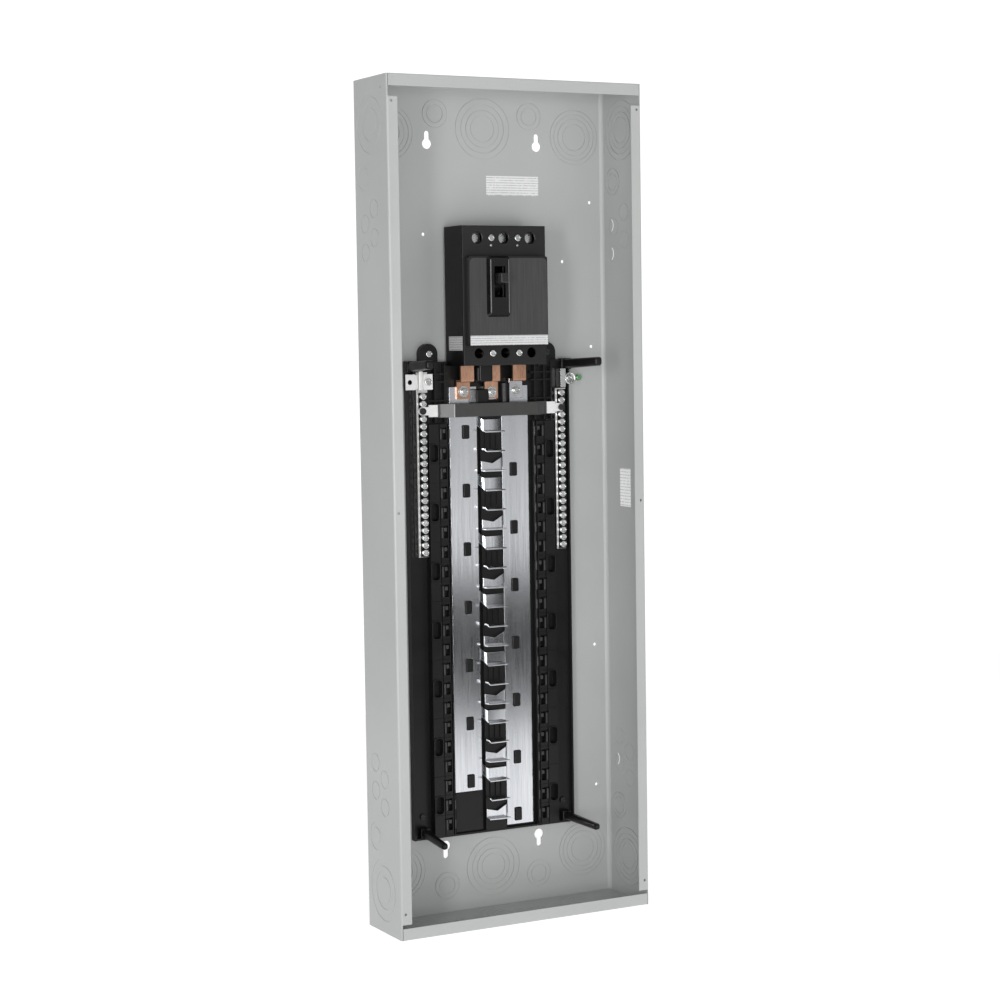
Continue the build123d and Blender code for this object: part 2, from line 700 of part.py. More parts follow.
# ---- main breaker: moulded cover with the raised panel ----
cheek_in = slot_w / 2 + 0.4
cheek = 2.6
with BuildPart() as breaker_cover:
    add(block(-brk_w / 2, brk_w / 2, brk_split, brk_front, brk_bottom, brk_top))
    edges = breaker_cover.edges()
    fillet([e for e in edges if e.center().Y < brk_front + 0.1], 1.2)
    add(block(-panel_w / 2, panel_w / 2, brk_front + 1, panel_y, panel_bottom, panel_top))
    edges = breaker_cover.edges().filter_by(Axis.Y)
    fillet([e for e in edges if e.center().Y < brk_front - 1], 3.2)
    edges = breaker_cover.edges()
    fillet([e for e in edges if e.center().Y < panel_y + 0.1], 0.9)
    low = brk_bottom + wall
    high = brk_top - wall
    add(block(-inner_half, inner_half, brk_split + 1, brk_front + wall, low, high), mode=Mode.SUBTRACT)
    hollow = panel_w / 2 - wall
    depth = (brk_front + wall + 1, panel_y + wall)
    add(block(-hollow, hollow, *depth, panel_bottom + wall, panel_top - wall), mode=Mode.SUBTRACT)
    for x in (-screw_x, screw_x):
        add(block(x - barrier / 2, x + barrier / 2, brk_split, panel_y + wall, low, high))
        above = block(x - barrier, x + barrier, brk_front, panel_y, panel_top, brk_top)
        below = block(x - barrier, x + barrier, brk_front, panel_y, brk_bottom, panel_bottom)
        add(above + below, mode=Mode.SUBTRACT)
    # room for the handle between the poles
    bay = (slot_bottom - 2.0, slot_top + 2.0)
    room = block(handle_x - 13.0, handle_x + 13.0, -34.0, panel_y + wall, *bay)
    add(room, mode=Mode.SUBTRACT)
    for s in (-1, 1):
        x0 = handle_x + s * cheek_in
        add(block(x0, x0 + s * cheek, handle_y + 6.0, panel_y + wall, handle_z - 8.0, handle_z + 8.0))
    pin_hole = rod_x(trunnion_r + running, handle_y, handle_z, handle_x - 12, handle_x + 12)
    slot_x = (handle_x - slot_w / 2, handle_x + slot_w / 2)
    add(pin_hole, mode=Mode.SUBTRACT)
    add(block(*slot_x, panel_y + wall + 1, panel_y - 1, slot_bottom, slot_top), mode=Mode.SUBTRACT)
    # crossbar and trip bar pass through the barriers and run in the side walls
    reach = inner_half - 0.5
    add(rod_x(9.6, bar_axis_y, bar_axis_z, -reach, reach), mode=Mode.SUBTRACT)
    seat = inner_half + 1.6
    add(rod_x(3.0 + running, bar_axis_y, bar_axis_z, -seat, seat), mode=Mode.SUBTRACT)
    add(rod_x(7.5, trip_y, trip_z, -reach, reach), mode=Mode.SUBTRACT)
    add(rod_x(2.0 + running, trip_y, trip_z, -seat, seat), mode=Mode.SUBTRACT)
    for x in (-screw_x, screw_x):
        for z in (lug_z, load_z):
            add(rod_y(5.0, x, z, brk_split, brk_front + 1))
            add(rod_y(2.4, x, z, brk_split + 1, brk_front - 1), mode=Mode.SUBTRACT)
    for x in poles:
        add(rod_y(7.8, x, lug_z, brk_split, brk_front - 1), mode=Mode.SUBTRACT)
        add(rod_y(6.6, x, load_z, brk_split, brk_front - 1), mode=Mode.SUBTRACT)
        add(rod_z(7.6, x, -30.9, brk_top - wall - 1, brk_top + 1), mode=Mode.SUBTRACT)
save(breaker_cover.part, "breaker_cover")

# ---- handle bezel ----
bezel_w = 33.0
bezel_top = 317.0
bezel_bottom = 240.0
bezel_t = 5.0
with BuildPart() as handle_bezel:
    mid_z = (bezel_top + bezel_bottom) / 2
    with BuildSketch(front.offset(-panel_y)):
        with Locations((handle_x, mid_z)):
            RectangleRounded(bezel_w, bezel_top - bezel_bottom, 4.0)
    with BuildSketch(front.offset(-panel_y + bezel_t)):
        with Locations((handle_x, mid_z)):
            RectangleRounded(bezel_w - 7.0, bezel_top - bezel_bottom - 5.0, 3.0)
    loft()
    slot_x = (handle_x - slot_w / 2, handle_x + slot_w / 2)
    add(block(*slot_x, panel_y + 1, panel_y - bezel_t - 1, slot_bottom, slot_top), mode=Mode.SUBTRACT)
save(handle_bezel.part, "handle_bezel")

# ---- handle: hub, trunnions and lever, in the on position ----
with BuildPart() as handle:
    half = handle_w / 2
    add(rod_x(7.0, handle_y, handle_z, handle_x - half, handle_x + half))
    pin_reach = cheek_in + cheek - 0.2
    add(rod_x(trunnion_r, handle_y, handle_z, handle_x - pin_reach, handle_x + pin_reach))
    with BuildSketch(Plane.YZ.offset(handle_x - half)):
        with BuildLine():
            Polyline(
                (handle_y, handle_z + 6.9),
                (panel_y, handle_z + 6.9),
                (handle_tip_y, handle_z + handle_tip_h / 2),
                (handle_tip_y, handle_z - handle_tip_h / 2),
                (panel_y, handle_z - 6.9),
                (handle_y, handle_z - 6.9),
                close=True,
            )
        make_face()
    extrude(amount=handle_w)
    edges = handle.edges()
    fillet([e for e in edges if e.center().Y < handle_tip_y + 4], 1.8)
turned = handle.part.rotate(Axis((handle_x, handle_y, handle_z), (1, 0, 0)), -handle_tilt)
save(turned, "handle")

# ---- moving contacts on their crossbar ----
with BuildPart() as contact_arms:
    for x in poles:
        with BuildSketch(Plane.YZ.offset(x - 3.0)):
            with BuildLine():
                Polyline(
                    (bar_axis_y + 5.0, bar_axis_z - 12.0),
                    (bar_axis_y + 8.0, bar_axis_z + 8.0),
                    (-21.6, contact_z - 4.0),
                    (-21.6, contact_z + 2.5),
                    (-25.6, contact_z + 2.5),
                    (bar_axis_y - 2.0, bar_axis_z + 10.0),
                    (bar_axis_y - 2.0, bar_axis_z - 8.0),
                    close=True,
                )
            make_face()
        extrude(amount=6.0)
        add(rod_y(3.0, x, contact_z - 1.0, -22.0, -20.2))
save(contact_arms.part, "contact_arms")

with BuildPart() as crossbar:
    add(rod_x(7.0, bar_axis_y, bar_axis_z, -inner_half + 2.0, inner_half - 2.0))
    add(rod_x(3.0, bar_axis_y, bar_axis_z, -inner_half - 1.3, inner_half + 1.3))
    add(contact_arms.part, mode=Mode.SUBTRACT)
save(crossbar.part, "crossbar")

with BuildPart() as line_terminals:
    for x in poles:
        add(block(x - 7.0, x + 7.0, -15.0, -18.0, contact_z - 8.0, 350.0))
        add(block(x - 7.0, x + 7.0, brk_back - wall, -15.0, 330.0, 350.0))
        add(block(x - 7.0, x + 7.0, brk_back - wall, -15.0, contact_z - 8.0, contact_z + 2.0))
        add(rod_y(3.4, x, contact_z - 1.0, -18.0, -20.2))
save(line_terminals.part, "line_terminals")

with BuildPart() as line_lugs:
    for x in poles:
        add(block(x - 10.0, x + 10.0, -18.0, -44.0, 329.5, 351.5))
        add(rod_z(6.6, x, -30.9, 328, 353), mode=Mode.SUBTRACT)
        add(rod_y(4.8, x, lug_z, -36, -45), mode=Mode.SUBTRACT)
save(line_lugs.part, "line_lugs")

with BuildPart() as line_lug_screws:
    for x in poles:
        add(rod_y(4.7, x, lug_z, -38.5, -44.3))
        add(rod_y(6.4, x, lug_z, -44.3, -49.5))
        add(block(x - 5.2, x + 5.2, -48.2, -51.0, lug_z - 0.8, lug_z + 0.8), mode=Mode.SUBTRACT)
save(line_lug_screws.part, "line_lug_screws")

with BuildPart() as arc_chutes:
    for x in poles:
        for i in range(6):
            z = 308.0 + 3.2 * i
            plate = block(x - 13.0, x + 13.0, -19.0, -48.0, z, z + 1.1)
            notch = block(x - 4.5, x + 4.5, -18.5, -38.0, z - 1, z + 2)
            add(plate - notch)
        for s in (-1, 1):
            add(block(x + s * 13.0, x + s * 14.2, -19.0, -48.0, 306.5, 326.5))
            add(block(x + s * 12.2, x + s * 14.2, brk_back - wall, -19.0, 306.5, 326.5))
save(arc_chutes.part, "arc_chutes")

# ---- trip units and trip bar ----
with BuildPart() as load_terminals:
    for x in poles:
        add(block(x - 8.0, x + 8.0, strap_y + strap_t, -18.0, 183.0, 246.0))
        add(block(x - 8.0, x + 8.0, -18.0, brk_back - wall, 206.0, 214.0))
        add(rod_y(3.3, x, load_z, -17, -22), mode=Mode.SUBTRACT)
save(load_terminals.part, "load_terminals")

with BuildPart() as load_screws:
    for x in poles:
        add(rod_y(5.4, x, load_z, strap_y, strap_y - 4.5))
        add(rod_y(3.2, x, load_z, strap_y, -17.0))
        slot = block(x - 4.2, x + 4.2, strap_y - 3.2, strap_y - 6, load_z - 0.7, load_z + 0.7)
        add(slot, mode=Mode.SUBTRACT)
save(load_screws.part, "load_screws")

with BuildPart() as trip_magnets:
    for x in poles:
        yoke = block(x - 11.0, x + 11.0, strap_y + strap_t, -36.0, 218.0, 232.0)
        add(yoke - block(x - 8.2, x + 8.2, strap_y + 1.6, -37.0, 217.0, 233.0))
        # bimetal strip
        add(block(x - 5.0, x + 5.0, strap_y + strap_t, strap_y + strap_t - 1.2, 212.0, 246.0))
save(trip_magnets.part, "trip_magnets")

with BuildPart() as trip_bar:
    add(rod_x(3.6, trip_y, trip_z, -inner_half + 2.0, inner_half - 2.0))
    add(rod_x(2.0, trip_y, trip_z, -inner_half - 1.3, inner_half + 1.3))
    for x in poles:
        add(block(x - 3.5, x + 3.5, trip_y, trip_y + 6.6, trip_z - 1.2, trip_z + 1.2))
save(trip_bar.part, "trip_bar")

with BuildPart() as breaker_screws:
    for x in (-screw_x, screw_x):
        for z in (lug_z, load_z):
            add(rod_y(4.3, x, z, brk_front, brk_front - 2.4))
            add(rod_y(2.1, x, z, brk_front, inner_y))
            slot = block(x - 3.2, x + 3.2, brk_front - 1.5, brk_front - 3, z - 0.5, z + 0.5)
            add(slot, mode=Mode.SUBTRACT)
save(breaker_screws.part, "breaker_screws")

# ---- labels ----
label_t = 0.2
with BuildPart() as breaker_label:
    add(block(-56.0, 56.0, panel_y, panel_y - label_t, 204.2, 216.6))
save(breaker_label.part, "breaker_label")

with BuildPart() as breaker_side_label:
    side = -brk_w / 2
    add(block(side, side - label_t, -17.0, -55.0, 198.0, 216.0))
save(breaker_side_label.part, "breaker_side_label")

with BuildPart() as back_label:
    add(block(5.0, 81.8, inner_y, inner_y - label_t, 397.8, 423.0))
save(back_label.part, "back_label")

with BuildPart() as wall_label:
    side = half_w - sheet
    add(block(side, side - label_t, -39.5, -66.0, -12.0, 38.5))
save(wall_label.part, "wall_label")
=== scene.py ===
import json
import math

import bmesh
import bpy
from mathutils import Matrix, Vector


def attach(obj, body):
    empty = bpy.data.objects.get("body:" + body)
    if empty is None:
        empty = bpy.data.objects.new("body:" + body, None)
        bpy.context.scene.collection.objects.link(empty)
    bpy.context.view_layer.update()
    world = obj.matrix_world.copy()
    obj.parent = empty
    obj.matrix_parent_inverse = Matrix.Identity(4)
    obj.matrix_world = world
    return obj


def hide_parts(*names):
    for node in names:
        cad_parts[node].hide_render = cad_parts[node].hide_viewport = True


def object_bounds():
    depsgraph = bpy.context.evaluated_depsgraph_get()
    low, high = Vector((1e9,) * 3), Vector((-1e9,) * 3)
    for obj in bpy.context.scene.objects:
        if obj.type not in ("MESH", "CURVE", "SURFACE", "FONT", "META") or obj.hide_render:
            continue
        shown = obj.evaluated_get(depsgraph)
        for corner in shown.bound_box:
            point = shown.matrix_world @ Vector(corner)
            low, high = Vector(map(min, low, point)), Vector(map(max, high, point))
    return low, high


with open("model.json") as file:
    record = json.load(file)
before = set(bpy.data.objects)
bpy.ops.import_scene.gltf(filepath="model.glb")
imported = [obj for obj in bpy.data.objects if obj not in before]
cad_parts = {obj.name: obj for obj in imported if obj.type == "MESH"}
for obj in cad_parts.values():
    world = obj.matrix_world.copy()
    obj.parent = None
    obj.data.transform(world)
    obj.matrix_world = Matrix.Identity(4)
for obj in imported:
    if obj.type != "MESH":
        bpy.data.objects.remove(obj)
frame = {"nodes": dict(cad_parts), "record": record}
cadLow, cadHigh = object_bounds()

mm = 0.001


# selecting and shaping, as it is done by hand
def focus(obj):
    if bpy.context.object and bpy.context.object.mode != "OBJECT":
        bpy.ops.object.mode_set(mode="OBJECT")
    bpy.ops.object.select_all(action="DESELECT")
    obj.select_set(True)
    bpy.context.view_layer.objects.active = obj


def settle(obj):
    focus(obj)
    bpy.ops.object.transform_apply(location=True, rotation=True, scale=True)
    return obj


def clearSelection():
    if bpy.context.object and bpy.context.object.mode != "OBJECT":
        bpy.ops.object.mode_set(mode="OBJECT")
    bpy.ops.object.select_all(action="DESELECT")


def addBlock(name, x, y, z):
    # a box between two corners, sizes in millimetres
    clearSelection()
    centre = [(a + b) / 2 * mm for a, b in (x, y, z)]
    size = [abs(b - a) * mm for a, b in (x, y, z)]
    bpy.ops.mesh.primitive_cube_add(size=1, location=centre)
    obj = bpy.context.object
    obj.name = name
    obj.scale = size
    return settle(obj)


def addRod(name, radius, centre, length, axis, vertices):
    # a round bar about its own axis, sizes in millimetres
    clearSelection()
    turn = {"X": (0, math.pi / 2, 0), "Y": (math.pi / 2, 0, 0), "Z": (0, 0, 0)}[axis]
    bpy.ops.mesh.primitive_cone_add(
        vertices=vertices,
        radius1=radius * mm,
        radius2=radius * mm,
        depth=length * mm,
        location=[c * mm for c in centre],
        rotation=turn,
    )
    obj = bpy.context.object
    obj.name = name
    return settle(obj)


def addRing(place, axis, radius, thick, around, across):
    # a round ring about an axis through its middle, sizes in millimetres
    clearSelection()
    turn = {"X": (0, math.pi / 2, 0), "Y": (math.pi / 2, 0, 0)}[axis]
    bpy.ops.mesh.primitive_torus_add(
        location=[c * mm for c in place],
        rotation=turn,
        major_segments=around,
        minor_segments=across,
        major_radius=radius * mm,
        minor_radius=thick * mm,
    )
    return settle(bpy.context.object)


def pick(obj, kind, test):
    # enters edit mode and selects faces, edges or points by place and normal (millimetres)
    focus(obj)
    bpy.ops.object.mode_set(mode="EDIT")
    bpy.ops.mesh.select_mode(type=kind)
    bpy.ops.mesh.select_all(action="DESELECT")
    net = bmesh.from_edit_mesh(obj.data)
    net.normal_update()
    if kind == "FACE":
        for face in net.faces:
            face.select_set(bool(test(face.calc_center_median() / mm, face.normal)))
    elif kind == "EDGE":
        for edge in net.edges:
            along = (edge.verts[1].co - edge.verts[0].co).normalized()
            edge.select_set(bool(test((edge.verts[0].co + edge.verts[1].co) / 2 / mm, along)))
    else:
        for vert in net.verts:
            vert.select_set(bool(test(vert.co / mm, vert.normal)))
    net.select_flush_mode()
    bmesh.update_edit_mesh(obj.data)


def editAll(obj):
    focus(obj)
    bpy.ops.object.mode_set(mode="EDIT")
    bpy.ops.mesh.select_all(action="SELECT")


def done():
    bpy.ops.object.mode_set(mode="OBJECT")


def pull(vector):
    bpy.ops.mesh.extrude_region_move(TRANSFORM_OT_translate={"value": [v * mm for v in vector]})


def shift(vector):
    bpy.ops.transform.translate(value=[v * mm for v in vector])


def roundEdges(obj, width, segments, test):
    pick(obj, "EDGE", test)
    bpy.ops.mesh.bevel(offset=width * mm, segments=segments)
    done()


def modify(obj, kind, **settings):
    focus(obj)
    made = obj.modifiers.new(kind.lower(), kind)
    for key, value in settings.items():
        setattr(made, key, value)
    bpy.ops.object.modifier_apply(modifier=made.name)
    return obj


def soften(obj, width, segments=2, angle=35):
    limit = math.radians(angle)
    return modify(
        obj, "BEVEL", width=width * mm, segments=segments, limit_method="ANGLE", angle_limit=limit
    )


def carve(obj, cutters):
    # takes the cutters out of the piece in one go
    tool = joined("tool", cutters)
    modify(obj, "BOOLEAN", operation="DIFFERENCE", object=tool, solver="EXACT")
    bpy.data.objects.remove(tool)
    return obj


def moveMesh(obj, vector):
    obj.data.transform(Matrix.Translation([v * mm for v in vector]))
    return obj


def copyAt(obj, vector):
    twin = obj.copy()
    twin.data = obj.data.copy()
    bpy.context.scene.collection.objects.link(twin)
    return moveMesh(twin, vector)


def joined(name, parts):
    clearSelection()
    for part in parts:
        part.select_set(True)
    bpy.context.view_layer.objects.active = parts[0]
    if len(parts) > 1:
        bpy.ops.object.join()
    obj = bpy.context.object
    obj.name = name
    return obj


def finishPiece(obj, body, finish, nodes=(), angle=40):
    focus(obj)
    bpy.ops.object.shade_smooth_by_angle(angle=math.radians(angle))
    modify(obj, "WEIGHTED_NORMAL", keep_sharp=True, weight=80)
    obj.data.materials.clear()
    obj.data.materials.append(finish)
    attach(obj, body)
    if nodes:
        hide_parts(*nodes)
    return obj


# shader maths as plain expressions
class Flow:
    # one socket of a material, with the operators that the finishes use
    def __init__(self, sheet, socket):
        self.sheet = sheet
        self.socket = socket

    def maths(self, operation, first, second):
        return self.sheet.maths(operation, first, second)

    def __add__(self, other):
        return self.maths("ADD", self, other)

    def __radd__(self, other):
        return self.maths("ADD", other, self)

    def __sub__(self, other):
        return self.maths("SUBTRACT", self, other)

    def __rsub__(self, other):
        return self.maths("SUBTRACT", other, self)

    def __mul__(self, other):
        return self.maths("MULTIPLY", self, other)

    def __rmul__(self, other):
        return self.maths("MULTIPLY", other, self)

    def __gt__(self, other):
        return self.maths("GREATER_THAN", self, other)

    def __lt__(self, other):
        return self.maths("LESS_THAN", self, other)


class Finish:
    def __init__(self, name):
        self.material = bpy.data.materials.new(name)
        self.material.use_nodes = True
        self.tree = self.material.node_tree
        self.tree.nodes.clear()
        self.place = self.node("ShaderNodeTexCoord", {}, {}, "Object")

    def node(self, kind, settings, inputs, output=0):
        made = self.tree.nodes.new(kind)
        for key, value in settings.items():
            setattr(made, key, value)
        for key, value in inputs.items():
            if isinstance(value, Flow):
                self.tree.links.new(value.socket, made.inputs[key])
            else:
                made.inputs[key].default_value = value
        return Flow(self, made.outputs[output])

    def maths(self, operation, first, second):
        return self.node("ShaderNodeMath", {"operation": operation}, {0: first, 1: second})

    def stretched(self, scale):
        return self.node("ShaderNodeMapping", {}, {"Vector": self.place, "Scale": scale})

    def noise(self, size, detail=3, scale=(1, 1, 1), roughness=0.5):
        where = self.stretched(scale)
        return self.node(
            "ShaderNodeTexNoise",
            {},
            {"Vector": where, "Scale": 1000 / size, "Detail": detail, "Roughness": roughness},
        )

    def axis(self, letter):
        return self.node("ShaderNodeSeparateXYZ", {}, {0: self.place}, letter)

    def between(self, value, low, high):
        return self.node(
            "ShaderNodeMapRange", {"clamp": True}, {"Value": value, "From Min": low, "From Max": high}
        )

    def blend(self, amount, first, second):
        mixed = self.node(
            "ShaderNodeMix", {"data_type": "RGBA"}, {"Factor": amount}, "Result"
        )
        mixNode = mixed.socket.node
        colourIn = [s for s in mixNode.inputs if s.type == "RGBA"]
        for target, value in zip(colourIn, (first, second)):
            if isinstance(value, Flow):
                self.tree.links.new(value.socket, target)
            else:
                target.default_value = (*value, 1)
        return Flow(self, [s for s in mixNode.outputs if s.type == "RGBA"][0])

    def bump(self, height, strength, distance):
        values = {"Height": height, "Strength": strength, "Distance": distance * mm}
        return self.node("ShaderNodeBump", {}, values, "Normal")

    def surface(self, **inputs):
        # fixed values sit on the shader's own sockets
        shader = self.tree.nodes.new("ShaderNodeBsdfPrincipled")
        for key, value in inputs.items():
            target = shader.inputs[key.replace("_", " ")]
            if isinstance(value, Flow):
                self.tree.links.new(value.socket, target)
            else:
                target.default_value = value
        output = self.tree.nodes.new("ShaderNodeOutputMaterial")
        self.tree.links.new(shader.outputs[0], output.inputs["Surface"])
        return self.material


def grey(level):
    return (level, level, level)


paintSettings = {
    "light": (0.42, 0.43, 0.423),
    "dull": (0.40, 0.409, 0.404),
    "peel": 1.6,
    "cloud": 140,
    "patch": (0.35, 0.65),
    "rough": 0.28,
    "cloudRough": 0.12,
    "peelRough": 0.04,
    "level": 0.42,
    "bump": 0.12,
    "depth": 0.12,
}


def makePaint():
    v = paintSettings
    sheet = Finish("boxPaint")
    cloud = sheet.noise(v["cloud"], 2)
    peel = sheet.noise(v["peel"], 2)
    return sheet.surface(
        Base_Color=sheet.blend(sheet.between(cloud, *v["patch"]), v["light"], v["dull"]),
        Roughness=v["rough"] + cloud * v["cloudRough"] + peel * v["peelRough"],
        Specular_IOR_Level=v["level"],
        Normal=sheet.bump(peel, v["bump"], v["depth"]),
    )


blackSettings = {
    "deep": (0.0045, 0.0045, 0.0045),
    "lighterToneAndSheen": (0.009, 0.009, 0.0088),
    "cloud": 30,
    "grain": 0.7,
    "cloudRough": 0.14,
    "bump": 0.2,
    "depth": 0.05,
}


# the second colour is the lighter end of the cloud: random tone on plain blacks, a painted highlight where a
# pale finish is made with it
def makeBlack(name="blackMoulding", deep=None, lighterToneAndSheen=None, rough=0.26, level=0.3):
    v = blackSettings
    sheet = Finish(name)
    cloud = sheet.noise(v["cloud"], 3)
    grain = sheet.noise(v["grain"], 2)
    return sheet.surface(
        Base_Color=sheet.blend(cloud, deep or v["deep"], lighterToneAndSheen or v["lighterToneAndSheen"]),
        Roughness=rough + cloud * v["cloudRough"],
        Specular_IOR_Level=level,
        Normal=sheet.bump(grain, v["bump"], v["depth"]),
    )


# bright colour, dull colour, roughness and the stretch of the streaks
metalSettings = {
    "tinnedBus": ((0.76, 0.775, 0.80), (0.64, 0.655, 0.685), 0.11, (1, 1, 0.03)),
    "zincScrew": ((0.84, 0.85, 0.84), (0.55, 0.56, 0.55), 0.14, (1, 1, 1)),
    "neutralMetal": ((0.86, 0.86, 0.85), (0.62, 0.62, 0.61), 0.24, (1, 1, 0.1)),
    "tinnedStrap": ((0.93, 0.93, 0.92), (0.82, 0.82, 0.81), 0.42, (0.2, 1, 1)),
    "copperStrap": ((0.70, 0.41, 0.28), (0.40, 0.21, 0.135), 0.26, (1, 1, 0.2)),
    "steelPlate": ((0.45, 0.45, 0.45), (0.32, 0.32, 0.32), 0.4, (1, 1, 1)),
    "greenScrew": ((0.22, 0.50, 0.24), (0.12, 0.34, 0.14), 0.28, (1, 1, 1)),
    "darkScrew": ((0.06, 0.06, 0.06), (0.03, 0.03, 0.03), 0.38, (1, 1, 1)),
}
streakSettings = {
    "streak": 2.0,
    "fine": 0.6,
    "cloud": 24,
    "patch": (0.36, 0.64),
    "streakRough": 0.14,
    "bump": 0.1,
    "depth": 0.02,
}


def makeMetal(name, metallic=1.0):
    v = streakSettings
    bright, dull, rough, run = metalSettings[name]
    sheet = Finish(name)
    lines = sheet.noise(v["streak"], 4, run, v["fine"])
    cloud = sheet.noise(v["cloud"], 3, run)
    mixed = sheet.between(lines * 0.5 + cloud * 0.5, *v["patch"])
    return sheet.surface(
        Base_Color=sheet.blend(mixed, bright, dull),
        Metallic=metallic,
        Roughness=rough + lines * v["streakRough"],
        Normal=sheet.bump(lines, v["bump"], v["depth"]),
    )


# places are in metres, as Object coordinates are
coverSettings = {
    "middle": 0.264,
    "halfHigh": 0.0505,
    "halfWide": 0.0556,
    "round": 0.0062,
    "face": (0.0582, 0.0686),
    "side": 0.0599,
    "brush": 1.6,
    "run": (1, 1, 0.03),
    "cloud": 40,
    # the body's own tone, which also paints shade round the raised panel's corners
    "bodyToneAndBevelShade": (0.016, 0.024),
    # painted shade: the breaker's side walls darker than its front
    "sides": 0.002,
    "raised": (0.036, 0.07),
    "rough": 0.3,
    "brushRough": 0.14,
    "level": 0.16,
    "bump": 0.2,
    "depth": 0.05,
}


def makeCover():
    # the raised front of the breaker is a tone lighter and finely brushed; round it the body's own dark tone
    # also covers the flat panel's corners as painted shade of a rounded bevel, and the side walls are painted
    # darker still as painted shade
    v = coverSettings
    sheet = Finish("breakerMouldingAndShade")
    lines = sheet.noise(v["brush"], 3, v["run"])
    cloud = sheet.noise(v["cloud"], 2)
    wide = sheet.maths("ABSOLUTE", sheet.axis("X"), 0.0)
    high = sheet.maths("ABSOLUTE", sheet.axis("Z") - v["middle"], 0.0)
    overWide = sheet.maths("MAXIMUM", wide - (v["halfWide"] - v["round"]), 0.0)
    overHigh = sheet.maths("MAXIMUM", high - (v["halfHigh"] - v["round"]), 0.0)
    # the rounded mask leaves the flat panel's corners dark: painted shade of a rounding the mesh lacks
    inside = (overWide * overWide + overHigh * overHigh) < v["round"] ** 2
    front = sheet.between(-1 * sheet.axis("Y"), *v["face"]) * inside
    bodyToneWithShade = sheet.blend(cloud, grey(v["bodyToneAndBevelShade"][0]), grey(v["bodyToneAndBevelShade"][1]))
    # the side walls get the darkest grey: painted shade
    paintedShadeSides = sheet.blend(wide > v["side"], bodyToneWithShade, grey(v["sides"]))
    light = sheet.blend(lines, grey(v["raised"][0]), grey(v["raised"][1]))
    return sheet.surface(
        Base_Color=sheet.blend(front, paintedShadeSides, light),
        Roughness=v["rough"] + lines * v["brushRough"],
        Specular_IOR_Level=v["level"],
        Normal=sheet.bump(lines, v["bump"], v["depth"]),
    )


labelSettings = {
    "words": 0.44,
    "rowFrom": 0.3,
    "rowStep": 7.31,
    "cloud": 20,
    "lift": (0.05, 0.055, 0.06),
    "ink": (0.12, 0.12, 0.13),
    "rough": 0.38,
    "cloudRough": 0.1,
    "level": 0.4,
    "bump": 0.05,
    "depth": 0.05,
}


def makeLabel(name, across, up, rows, dash, ink, paper, thick=0.62):
    # generic rows of short grey marks, no lettering
    v = labelSettings
    sheet = Finish(name)
    rowHeight = sheet.axis(up) * (1000 / rows)
    row = sheet.node("ShaderNodeMath", {"operation": "FRACT"}, {0: rowHeight})
    line = sheet.node("ShaderNodeMath", {"operation": "FLOOR"}, {0: rowHeight})
    along = sheet.axis(across) * (1000 / dash)
    where = sheet.node("ShaderNodeCombineXYZ", {}, {0: along, 1: line * v["rowStep"], 2: 0.0})
    words = sheet.node("ShaderNodeTexNoise", {}, {"Vector": where, "Scale": 1.0, "Detail": 1.0})
    inked = (words > v["words"]) * (row > v["rowFrom"]) * (row < thick)
    cloud = sheet.noise(v["cloud"], 2)
    base = sheet.blend(cloud, grey(paper), [paper + more for more in v["lift"]])
    return sheet.surface(
        Base_Color=sheet.blend(inked * ink, base, v["ink"]),
        Roughness=v["rough"] + cloud * v["cloudRough"],
        Specular_IOR_Level=v["level"],
        Normal=sheet.bump(cloud, v["bump"], v["depth"]),
    )


sleeveSettings = {
    "litSlopeX": -0.0622,
    "cloud": 14,
    "plain": ((0.036, 0.036, 0.035), (0.05, 0.05, 0.048)),
    # painted highlight: the sloping part paler, as if lit
    "litSlopePale": ((0.066, 0.066, 0.065), (0.088, 0.088, 0.086)),
    "rough": 0.26,
    "cloudRough": 0.12,
    "level": 0.42,
    "bump": 0.06,
    "depth": 0.2,
}


def makeSleeve():
    # stretched paler where it slopes down to the left bar: a painted highlight, the light that the sloping
    # face catches
    v = sleeveSettings
    sheet = Finish("tieSleeveLitSlope")
    cloud = sheet.noise(v["cloud"], 3)
    litSlope = sheet.axis("X") < v["litSlopeX"]
    plain, litSlopePale = sheet.blend(cloud, *v["plain"]), sheet.blend(cloud, *v["litSlopePale"])
    return sheet.surface(
        Base_Color=sheet.blend(litSlope, plain, litSlopePale),
        Roughness=v["rough"] + cloud * v["cloudRough"],
        Specular_IOR_Level=v["level"],
        Normal=sheet.bump(cloud, v["bump"], v["depth"]),
    )


finishes = {
    "box_paint": makePaint(),
    "black_moulding": makeBlack(),
    "zinc_screw": makeMetal("zincScrew"),
    "tinned_bus": makeMetal("tinnedBus"),
    "copper": makeMetal("copperStrap", 0.85),
    "neutral_aluminium": makeMetal("neutralMetal"),
    "tinned_strap": makeMetal("tinnedStrap", 0.55),
    "sleeve": makeSleeve(),
    "dark_screw": makeMetal("darkScrew", 0.7),
    "green_screw": makeMetal("greenScrew", 0.5),
    "breaker_moulding": makeCover(),
    "bezel": makeBlack("handleGloss", grey(0.003), grey(0.005), 0.07, 0.5),
    "steel_plate": makeMetal("steelPlate"),
    "label": makeLabel("printedLabel", "X", "Z", 2.9, 1.2, 0.55, 0.55),
}
# nodes that look unlike the rest of their slot
ownFinishes = {
    "breaker_side_label": makeLabel("sideLabel", "Y", "Z", 3.0, 1.6, 0.6, 0.5),
    "wall_label": makeLabel("wallLabel", "Y", "Z", 4.0, 1.6, 0.4, 0.95),
    "back_label": makeLabel("backLabel", "X", "Z", 3.2, 1.5, 0.5, 0.72),
    "handle": makeBlack("handleBlack", grey(0.012), grey(0.02), 0.16, 0.6),
}
